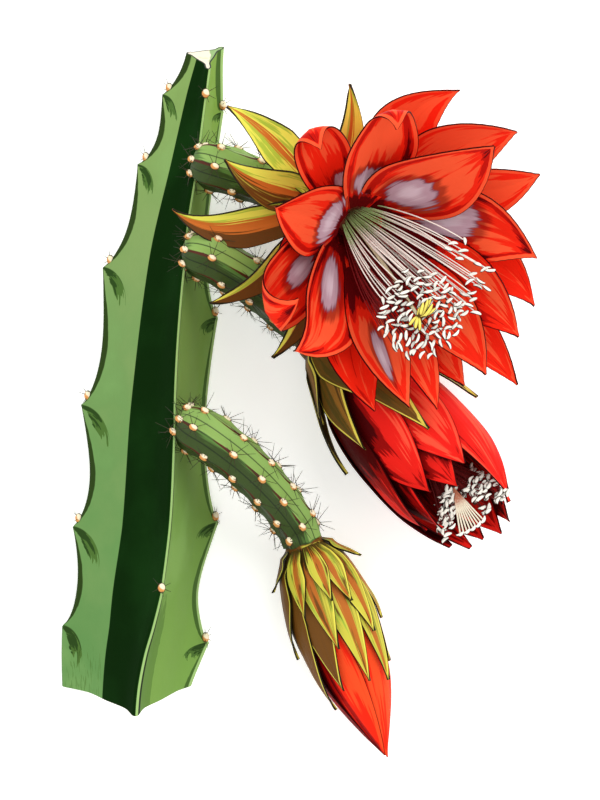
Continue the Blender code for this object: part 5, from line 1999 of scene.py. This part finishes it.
@dataclass
class Bud:
    """The closed bud: red petals and layers of bracts."""

    origin: tuple = BUD_END
    axis: tuple = BUD_WAY
    seat: tuple = ((0.3, 0.0), (0.3, 7.6), (2.5, 8.2), (4.7, 8.0), (4.7, 0.0))
    core_depth: float = 3.4
    seed: int = 41

    def build(self) -> None:
        """Make the petals and the bracts."""
        axis = FlowerAxis(self.origin, self.axis, (0.93, 0.36, 0.0))
        rng = random.Random(self.seed)
        body = ClosedBody(axis, BUD_PROFILE, 14.6, -4.4, gloom=0.62, gloom_at=(0.35, 0.75))
        petals = [ClosedBlade(*row).build(f"petal_{i}", body, Brush(0.10), rng)
                  for i, row in enumerate(BUD_PETALS)]
        inner = [(s, max(r - self.core_depth, 0.6)) for s, r in BUD_PROFILE[:-2]]
        core = turned("core", axis, [(inner[0][0], 0.0), *inner, (inner[-1][0], 0.0)])
        red = PetalFinish("bud_red", bright=(252, 80, 38), base=(248, 42, 20), dark=(166, 16, 8))
        dress_whorl("bud_red", petals, core, 5.0, red.build(), "bud_petals")
        leaf = ClosedBody(axis, BUD_PROFILE, 0.6, 0.0, 0.5, 0.6, BRACT_GRID, 0.45)
        bracts = [ClosedBlade(*row, outline=Outline.BRACT).build(
            f"bract_{i}", leaf, self.brush(row[0], i), rng) for i, row in enumerate(BUD_BRACTS)]
        green = BractFinish(
            "bract_bud", yellow=(208, 200, 70), green=(162, 188, 62), orange=(188, 106, 36),
            brown=(112, 70, 20), root=(84, 66, 20), rim=(236, 224, 84), rim_wide=0.8)
        dress_whorl("bud_leaves", bracts, turned("seat", axis, self.seat), 4.0,
                    green.build(), "bud_bracts")

    def brush(self, turn: float, index: int) -> Brush:
        """Return how a bract is painted: brown on the left, striped elsewhere."""
        if 110 < turn < 260 and index != 12:
            return Brush(bands=(-0.2, 0.2, 1.0), brown=0.9)
        low = -0.60 if index % 2 else -0.20
        return Brush(bands=(low, low + 0.65, 0.45), brown=0.41)


# Studio


@dataclass
class Studio:
    """Pale floor, soft light and a camera that looks straight down from far away."""

    distance: float = 6.0
    tall: float = 0.320
    sky: float = 1.13
    # below is the floor's glow, painted light that lightens the shadows on it.
    below: float = 0.34
    film: float = 36.0
    centre: tuple = (0.0001, 0.00095)
    lamps: tuple = (("key", 1.36, 44.0, (-0.42, -0.50, -0.76)),
                    ("fill", 0.34, 60.0, (0.5, 0.1, -0.86)))

    def build(self) -> None:
        """Make the floor, the lights and the camera."""
        self.floor()
        self.lights()
        self.camera()

    def floor(self) -> None:
        """Lay a large pale sheet that glows a little as painted light, lightening the shadows on
        it.
        """
        deselect()
        bpy.ops.mesh.primitive_plane_add(size=8.0, location=(0.0, 0.0, -0.0002))
        plane = bpy.context.active_object
        plane.name = "floor"
        make = Finish("pale_floor")
        t = make.tree
        grain = t.noise(t.place(), 60.0, 3.0)
        colour = t.mix(t.scaled(grain, 0.3), (0.98, 0.98, 0.97, 1.0), (0.95, 0.95, 0.94, 1.0))
        # A faint glow, painted light that lifts the floor's shadows.
        make.shader.inputs["Emission Color"].default_value = (1.0, 1.0, 0.98, 1.0)
        make.shader.inputs["Emission Strength"].default_value = self.below
        plane.data.materials.append(make.end(colour, 0.9, grain, 0.05, 0.1))

    def lights(self) -> None:
        """Light the scene from above right, with an even sky."""
        world = bpy.data.worlds.new("sky")
        bpy.context.scene.world = world
        world.use_nodes = True
        sky = world.node_tree.nodes["Background"].inputs
        sky["Color"].default_value = (1.0, 1.0, 1.0, 1.0)
        sky["Strength"].default_value = self.sky
        for name, power, angle, way in self.lamps:
            lamp = bpy.data.lights.new(name, "SUN")
            lamp.energy = power
            lamp.angle = math.radians(angle)
            obj = bpy.data.objects.new(name, lamp)
            obj.rotation_euler = Vector(way).to_track_quat("-Z", "Y").to_euler()
            bpy.context.collection.objects.link(obj)

    def camera(self) -> None:
        """Hang the camera over the middle of the photograph's frame."""
        lens = bpy.data.cameras.new("camera")
        lens.sensor_fit = "VERTICAL"
        lens.sensor_height = self.film
        lens.lens = self.film * self.distance / self.tall
        lens.clip_end = 60.0
        eye = bpy.data.objects.new("camera", lens)
        eye.location = (*self.centre, self.distance)
        bpy.context.collection.objects.link(eye)
        bpy.context.scene.camera = eye
        bpy.context.scene.view_settings.view_transform = "Standard"


TUBES = (
    FlowerTube("open_tube", "open_bloom_tube", (
        (-39.4, 94.2, 30.5), (-33.6, 92.4, 32.5), (-22.6, 89.0, 29.5), (-8.6, 83.8, 23.5),
        (4.0, 80.4, 23.5), OPEN_END), OPEN_WAY, 4, (4.4, 7.6), 14),
    FlowerTube("second_tube", "second_bloom_tube", (
        (-43.8, 58.8, 40.5), (-38.0, 57.2, 41.0), (-29.8, 53.0, 37.5), (-17.4, 45.0, 26.5),
        (-7.5, 36.6, 15.6), (-2.0, 31.4, 12.4), SECOND_END), SECOND_WAY, 4, (4.4, 7.6), 15),
    FlowerTube("bud_tube_skin", "bud_tube", (
        (-46.4, -9.0, 49.0), (-35.8, -15.4, 50.0), (-22.6, -25.8, 45.0), (-10.2, -38.6, 34.5),
        (-2.2, -49.8, 25.2), BUD_END), BUD_WAY, 5, (4.8, 8.4), 16))


def main() -> None:
    """Build the studio and every piece of the cutting."""
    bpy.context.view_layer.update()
    Studio().build()
    Stem().build()
    for tube in TUBES:
        tube.build()
    OpenBloom().build()
    SecondBloom().build()
    Bud().build()


if __name__ == "__main__":
    logging.basicConfig(level=logging.INFO)
    main()
